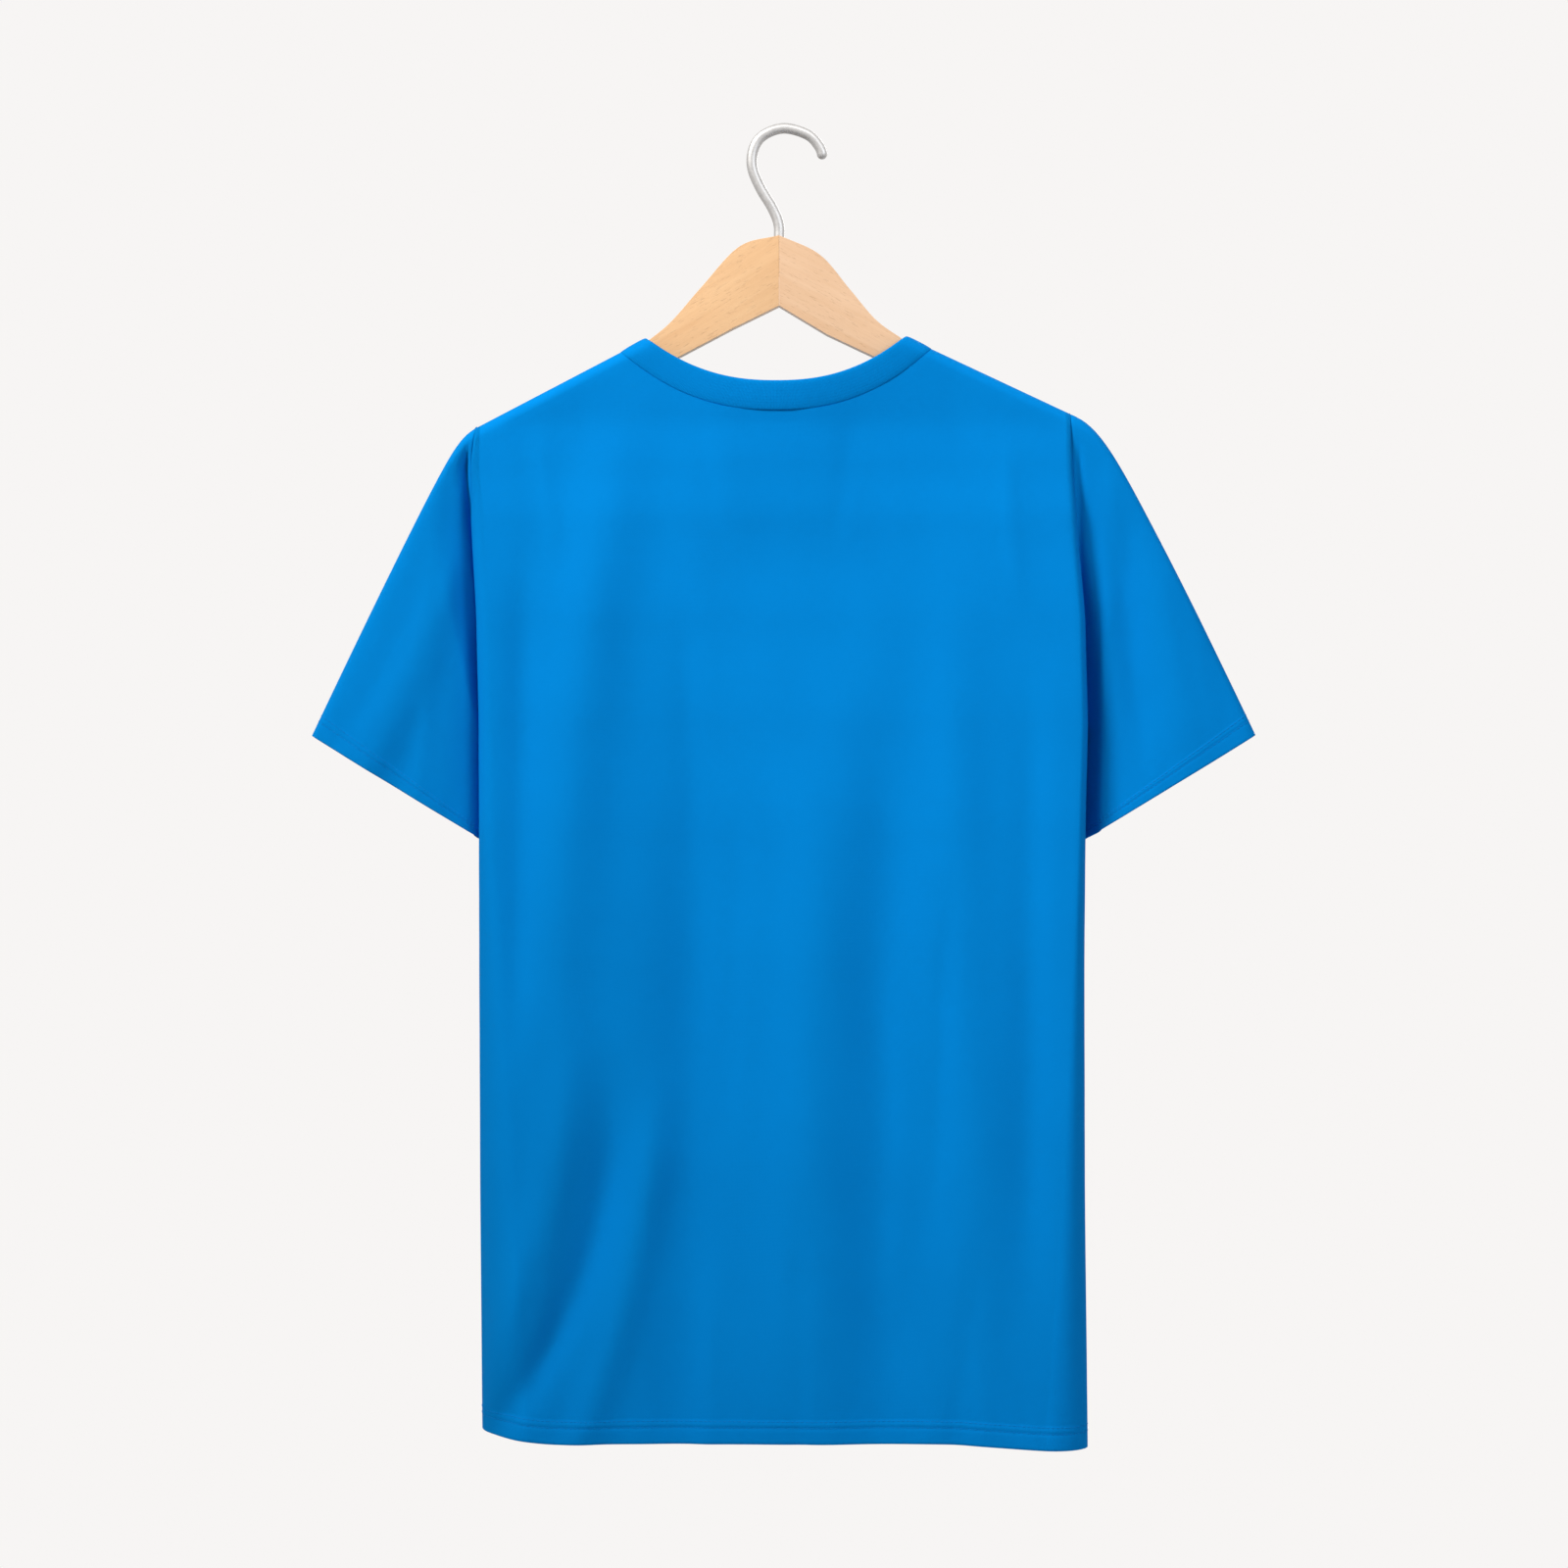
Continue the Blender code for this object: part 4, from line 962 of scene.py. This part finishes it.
def crown_station(share):
    """The cross-section on top of a shoulder, where the back and front halves meet."""
    halves = zip(rib_station("back", share), rib_station("front", share))
    return [(back_corner + front_corner) / 2 for back_corner, front_corner in halves]


def rib_ring(stations):
    """The rib's cross-sections joined into a closed ring, its UV in metres round and across."""
    mesh = bmesh.new()
    uv = mesh.loops.layers.uv.new("cloth")
    rings = [[mesh.verts.new(point) for point in station] for station in stations]
    corners = len(RIB_OUTLINE)
    middle = corners // 4
    along = [0.0]
    for one, other in zip(stations, stations[1:] + stations[:1]):
        along.append(along[-1] + math.dist(one[middle], other[middle]))
    for index, ring in enumerate(rings):
        following = rings[(index + 1) % len(rings)]
        for corner in range(corners):
            after = (corner + 1) % corners
            made = mesh.faces.new((ring[corner], ring[after], following[after], following[corner]))
            places = ((index, corner), (index, corner + 1), (index + 1, corner + 1),
                      (index + 1, corner))
            for loop, (station, turn) in zip(made.loops, places):
                loop[uv].uv = (along[station], RIB_WIDTH * 2 * turn / corners)
    bmesh.ops.recalc_face_normals(mesh, faces=mesh.faces)
    return mesh


# The rib's second colour is the painted shade between its stitches, deeper than the jersey's.
rib_knit = knit_material("blue_rib_knit", (0.0, 0.245, 0.69), (0.0, 0.165, 0.49), 560, 900,
                         0.00020)
rib_stations = [crown_station(-1.0)]
rib_stations += [rib_station("back", share) for share in RIB_SHARES[1:-1]]
rib_stations += [crown_station(1.0)]
rib_stations += [rib_station("front", share) for share in RIB_SHARES[-2:0:-1]]
ribbing = smooth_object("neck_ribbing", rib_ring(rib_stations), rib_knit)
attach(ribbing, "root")
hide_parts("neck_rib")


# ---- Hem stitching ------------------------------------------------------------------------------
# The hems of the body and the sleeves are sewn by a machine with two needles, which leaves two rows
# of short straight stitches of blue thread, each drawn a little into the cloth.
STITCH_PITCH = 0.0032
STITCH_LENGTH = 0.0025
THREAD_RADIUS = 0.00026
STITCH_SINK = 0.00008       # how far a stitch's ends lie below the cloth's outer face
STITCH_ARCH = 0.55          # rise of its middle over its ends, in thread radii
ThreadRing = namedtuple("ThreadRing", "along thickness")
THREAD_RINGS = (ThreadRing(0.0, 0.35), ThreadRing(0.16, 0.95), ThreadRing(0.5, 1.1),
                ThreadRing(0.84, 0.95), ThreadRing(1.0, 0.35))
THREAD_SIDES = 6


def stitch_line(cloth, height):
    """Points and normals of the row of a cloth's hem at one of HEM_HEIGHTS."""
    points, normals = cloth.row(HEM_HEIGHTS.index(height) - len(HEM_HEIGHTS))
    return [vert.co for vert in cloth.closing(points)], cloth.closing(normals)


def sew_stitch(mesh, start, end, normal):
    """One stitch: a short thread that swells in its middle and dives into the cloth at its ends."""
    along = (end - start).normalized()
    side = along.cross(normal).normalized()
    turns = [2 * math.pi * turn / THREAD_SIDES for turn in range(THREAD_SIDES)]
    rings = []
    for ring in THREAD_RINGS:
        lift = THREAD_RADIUS * STITCH_ARCH * math.sin(math.pi * ring.along) - STITCH_SINK
        centre = start.lerp(end, ring.along) + normal * lift
        radius = THREAD_RADIUS * ring.thickness
        spokes = [side * math.cos(turn) + normal * math.sin(turn) for turn in turns]
        rings.append([mesh.verts.new(centre + radius * spoke) for spoke in spokes])
    for one, other in zip(rings, rings[1:]):
        for turn in range(THREAD_SIDES):
            after = (turn + 1) % THREAD_SIDES
            mesh.faces.new((one[turn], one[after], other[after], other[turn]))
    mesh.faces.new(rings[0][::-1])
    mesh.faces.new(rings[-1])


def sew_row(mesh, points, normals):
    """Stitches at an even pitch along a line of points."""
    left = STITCH_PITCH / 2
    for (start, end), normal in zip(zip(points, points[1:]), normals):
        length = (end - start).length
        direction = (end - start) / max(length, 1e-9)
        at = left
        while at < length:
            middle = start + direction * at
            half = direction * STITCH_LENGTH / 2
            sew_stitch(mesh, middle - half, middle + half, normal)
            at += STITCH_PITCH
        left = at - length


thread, tree, yarn = new_material("blue_thread")
place = add_node(tree, "ShaderNodeTexCoord").outputs["Object"]
twist = add_node(tree, "ShaderNodeTexWave", {"Vector": place, "Scale": 900.0, "Distortion": 1.0},
                 bands_direction="DIAGONAL").outputs["Fac"]
# Painted shade: the thread's colour darkens in the grooves of its twist, where the same bands sink
# in the bump.
painted_twist_shade = colour_between(tree, twist, (0.001, 0.17, 0.50, 1.0), (0.002, 0.26, 0.72, 1.0))
set_inputs(tree, yarn, {"Base Color": painted_twist_shade, "Roughness": 0.8, "Specular IOR Level": 0.1,
                        "Normal": bumps(tree, twist, 0.00008)})


def sewn_hem(name, cloth):
    """The stitches of one hem as an object."""
    mesh = bmesh.new()
    for height in STITCH_ROWS:
        sew_row(mesh, *stitch_line(cloth, height))
    bmesh.ops.recalc_face_normals(mesh, faces=mesh.faces)
    made = smooth_object(name, mesh, thread)
    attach(made, "root")
    return made


back_stitches = sewn_hem("back_hem_stitches", back)
front_stitches = sewn_hem("front_hem_stitches", front)
sleeve_stitches = {name: sewn_hem(name + "_stitches", tube)
                   for name, (tube, _) in sleeve_cloths.items()}


# ---- Hanger arms --------------------------------------------------------------------------------
# Two arms of pale beech, sawn to a curve, rounded along every edge, lacquered, and glued at the
# middle with the grain of each running down its own slope. The shirt's shoulders lie on them.
ARM_THICKNESS = 0.012
ARM_ROUND = 0.0054          # rounding of the arms' edges
ARM_JOINT_X = -0.0033
JOINT_GAP = 0.0001          # the fine line that shows between the two arms
ARM_NOTCH_Z = -0.1165       # the joint's lower end
ARM_UNDER_CLOTH = 0.0025
ARM_UNDER_RIB = 0.0031
ARM_END_HEIGHT = 0.0140
ARM_TOP_STEPS = 12          # steps of a smooth line between two of its points
ARM_UNDER_STEPS = 4
ARM_END_STEPS = 16
WELD = 0.00001              # points closer than this become one
Arm = namedtuple("Arm", "name node side lean neck_x end_x top under colour shade")
ARMS = (
    Arm("left_arm_wood", "hanger_arm_left", -1, LEFT_SHOULDER["slope"], -0.0935, -0.1960,
        ((-0.0034, -0.0692), (-0.0300, -0.0768), (-0.0550, -0.1034), (-0.0760, -0.1274)),
        ((-0.0340, -0.1316), (-0.0920, -0.1622)), (0.93, 0.59, 0.315), (0.77, 0.43, 0.205)),
    Arm("right_arm_wood", "hanger_arm_right", 1, RIGHT_SHOULDER["slope"], 0.0800, 0.1850,
        ((-0.0032, -0.0692), (0.0240, -0.0822), (0.0445, -0.1058), (0.0620, -0.1262)),
        ((0.0288, -0.1358), (0.0820, -0.1609)), (0.91, 0.615, 0.40), (0.76, 0.46, 0.255)),
)


def smooth_line(points, steps):
    """A smooth line through the points, with so many steps between two of them."""
    first = tuple(2 * a - b for a, b in zip(points[0], points[1]))
    last = tuple(2 * a - b for a, b in zip(points[-1], points[-2]))
    padded = (first, *points, last)
    line = []
    for p0, p1, p2, p3 in zip(padded, padded[1:], padded[2:], padded[3:]):
        for step in range(steps):
            t = step / steps
            line.append(tuple(
                0.5 * (2 * b + (c - a) * t + (2 * a - 5 * b + 4 * c - d) * t * t
                       + (3 * b - a - 3 * c + d) * t ** 3)
                for a, b, c, d in zip(p0, p1, p2, p3)))
    line.append(tuple(points[-1]))
    return line


def arm_outline(arm):
    """An arm's outline: curved top, long slope under the cloth, round end and underside."""
    under_rib = (arm.neck_x, ridge_z(arm.neck_x) - ARM_UNDER_RIB)
    top = smooth_line((*arm.top, under_rib), ARM_TOP_STEPS)
    radius = ARM_END_HEIGHT / 2
    lean = math.atan(arm.lean)
    centre_x = arm.end_x - arm.side * math.sin(lean) * radius
    centre_z = ridge_z(arm.end_x) - ARM_UNDER_CLOTH - math.cos(lean) * radius
    end = []
    for step in range(ARM_END_STEPS + 1):
        turn = math.pi / 2 - lean - math.pi * step / ARM_END_STEPS
        end.append((centre_x + arm.side * radius * math.cos(turn),
                    centre_z + radius * math.sin(turn)))
    under = smooth_line(arm.under[::-1], ARM_UNDER_STEPS)
    joint_x = ARM_JOINT_X + arm.side * JOINT_GAP / 2
    return [(joint_x, top[0][1]), *top[1:], *end, *under, (joint_x, ARM_NOTCH_Z)]


def beech_group():
    """Long grain, short dark flecks and a slow change of tone, along the X of the given place."""
    tree, taken = new_group("beech grain", {"Place": (0.0, 0.0, 0.0)}, ("Grain", "Flecks", "Tone"))
    place = taken["Place"]
    long_way = add_node(tree, "ShaderNodeMapping", {"Vector": place, "Scale": (9.0, 130.0, 210.0)})
    short_way = add_node(tree, "ShaderNodeMapping",
                         {"Vector": place, "Scale": (190.0, 900.0, 1500.0)})
    pores = noise(tree, short_way.outputs["Vector"], 1.0, 2.0)
    flecks = add_node(tree, "ShaderNodeMapRange",
                      {"Value": pores, "From Min": 0.60, "From Max": 0.72})
    add_node(tree, "NodeGroupOutput", {
        "Grain": noise(tree, long_way.outputs["Vector"], 1.0, 6.0, Roughness=0.62, Distortion=0.6),
        "Flecks": flecks.outputs["Result"], "Tone": noise(tree, place, 16.0, 2.0)})
    return tree


BEECH = beech_group()


def beech_material(arm):
    """Lacquered beech whose grain follows one arm's slope. Each arm has its own grain and its own
    colours, the left darker and more saturated than the right.
    """
    made, tree, wood = new_material(arm.name.replace("_wood", "_beech"))
    turned = add_node(tree, "ShaderNodeMapping", {
        "Vector": add_node(tree, "ShaderNodeTexCoord").outputs["Object"],
        "Rotation": (0.0, -arm.side * math.atan(arm.lean * 1.15), 0.0),
        "Location": (0.37 * arm.side, 0.11, 0.05 * arm.side)})
    grain = add_node(tree, "ShaderNodeGroup", {"Place": turned.outputs["Vector"]},
                     node_tree=BEECH).outputs
    figure = math_node(tree, "MULTIPLY_ADD", grain["Grain"], 1.3, -0.45)
    figure = math_node(tree, "MULTIPLY_ADD", grain["Tone"], 0.55, figure)
    ground = colour_between(tree, figure, (*arm.shade, 1.0), (*arm.colour, 1.0))
    fleck_share = math_node(tree, "MULTIPLY", grain["Flecks"], 0.35)
    raised = math_node(tree, "SUBTRACT", grain["Grain"], grain["Flecks"])
    set_inputs(tree, wood, {
        "Base Color": colour_between(tree, fleck_share, ground, (0.42, 0.22, 0.10, 1.0)),
        "Roughness": 0.42, "Coat Weight": 0.15, "Coat Roughness": 0.25,
        "Normal": bumps(tree, raised, 0.00015, strength=0.4)})
    return made


def drawn_curve(name, points):
    """A curve object through the points by straight steps, ready for its thickness."""
    bpy.ops.object.select_all(action="DESELECT")
    bpy.ops.curve.primitive_bezier_curve_add()
    made = bpy.context.object
    made.name = name
    made.data.splines.clear()
    spline = made.data.splines.new("POLY")
    spline.points.add(len(points) - 1)
    for point, place in zip(spline.points, points):
        point.co = (*place, 1.0)
    return made, spline


def make_mesh_of_curve():
    """Turns the curve in hand into a closed mesh whose faces point out."""
    bpy.ops.object.convert(target="MESH")
    bpy.ops.object.mode_set(mode="EDIT")
    bpy.ops.mesh.select_all(action="SELECT")
    bpy.ops.mesh.remove_doubles(threshold=WELD)
    bpy.ops.mesh.normals_make_consistent(inside=False)
    bpy.ops.object.mode_set(mode="OBJECT")


def sawn_arm(arm):
    """An arm cut from a board as a flat curve, with its edges rounded over, then made a mesh."""
    made, outline = drawn_curve(arm.name, [(x, z, 0.0) for x, z in arm_outline(arm)])
    outline.use_cyclic_u = True
    made.data.dimensions = "2D"
    made.data.fill_mode = "BOTH"
    made.data.extrude = ARM_THICKNESS / 2
    make_mesh_of_curve()
    made.rotation_euler = (math.radians(90), 0, 0)
    bpy.ops.object.transform_apply(location=True, rotation=True, scale=True)
    edge = made.modifiers.new("rounded edges", "BEVEL")
    edge.width = ARM_ROUND
    edge.segments = 8
    edge.limit_method = "ANGLE"
    edge.angle_limit = math.radians(50)
    bpy.ops.object.modifier_apply(modifier=edge.name)
    bpy.ops.object.shade_smooth_by_angle(angle=math.radians(40))
    return made


arms = {arm.name: sawn_arm(arm) for arm in ARMS}
for arm in ARMS:
    wood = arms[arm.name]
    wood.data.materials.append(beech_material(arm))
    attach(wood, "root")
    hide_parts(arm.node)


# ---- Hook ---------------------------------------------------------------------------------------
# Bright plated steel wire, bent into an open hook whose tip is rounded off. Its shank is pushed
# into a bore in the joint between the two arms.
WIRE_RADIUS = 0.0036
HOOK_POINTS = (
    (0.0266, -0.0172), (0.0240, -0.0092), (0.0160, -0.0008), (0.0000, 0.0036), (-0.0140, -0.0012),
    (-0.0205, -0.0105), (-0.0213, -0.0230), (-0.0158, -0.0368), (-0.0080, -0.0498),
    (-0.0036, -0.0610), (-0.0033, -0.0730), (-0.0033, -0.0960))
HOOK_STEPS = 14
TIP_SHARES = (0.30, 0.62, 0.86, 0.97)   # thickness of the wire over its rounded tip
BORE_CLEARANCE = 0.0002
BORE_DEPTH = 0.040
BORE_MIDDLE_Z = -0.0772


def bent_wire():
    """The hook as a round wire along a smooth line, made a mesh."""
    line = smooth_line(HOOK_POINTS, HOOK_STEPS)
    tip, after = Vector(line[0]), Vector(line[1])
    outwards = (tip - after).normalized()
    rounded = [tip + outwards * WIRE_RADIUS * math.sqrt(1 - share ** 2) - outwards * WIRE_RADIUS
               for share in TIP_SHARES]
    kept = [point for point in line if (Vector(point) - tip).length > WIRE_RADIUS]
    made, spline = drawn_curve("hook_wire", [(x, 0.0, z) for x, z in [*rounded, *kept]])
    for point, share in zip(spline.points, TIP_SHARES):
        point.radius = share
    made.data.dimensions = "3D"
    made.data.bevel_depth = WIRE_RADIUS
    made.data.bevel_resolution = 6
    made.data.use_fill_caps = True
    make_mesh_of_curve()
    bpy.ops.object.shade_smooth_by_angle(angle=math.radians(50))
    return made


plated, tree, steel = new_material("plated_steel")
place = add_node(tree, "ShaderNodeTexCoord").outputs["Object"]
scuffs = noise(tree, place, 420.0, 5.0)
dull = add_node(tree, "ShaderNodeMapRange", {"Value": scuffs, "To Min": 0.42, "To Max": 0.58})
tarnish = colour_between(tree, scuffs, (0.43, 0.42, 0.41, 1.0), (0.55, 0.54, 0.53, 1.0))
set_inputs(tree, steel, {"Base Color": tarnish, "Metallic": 1.0,
                         "Roughness": dull.outputs["Result"]})

hook = bent_wire()
hook.data.materials.append(plated)
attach(hook, "root")
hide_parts("hanger_hook")

# The bore for the shank, cut out of both arms.
bpy.ops.mesh.primitive_cylinder_add(vertices=32, radius=WIRE_RADIUS + BORE_CLEARANCE,
                                    depth=BORE_DEPTH, location=(ARM_JOINT_X, 0.0, BORE_MIDDLE_Z))
drill = bpy.context.object
bpy.ops.object.transform_apply(location=True, rotation=True, scale=True)
for wood in arms.values():
    bpy.context.view_layer.objects.active = wood
    bore = wood.modifiers.new("bore", "BOOLEAN")
    bore.object = drill
    bpy.ops.object.modifier_apply(modifier=bore.name)
bpy.data.objects.remove(drill, do_unlink=True)
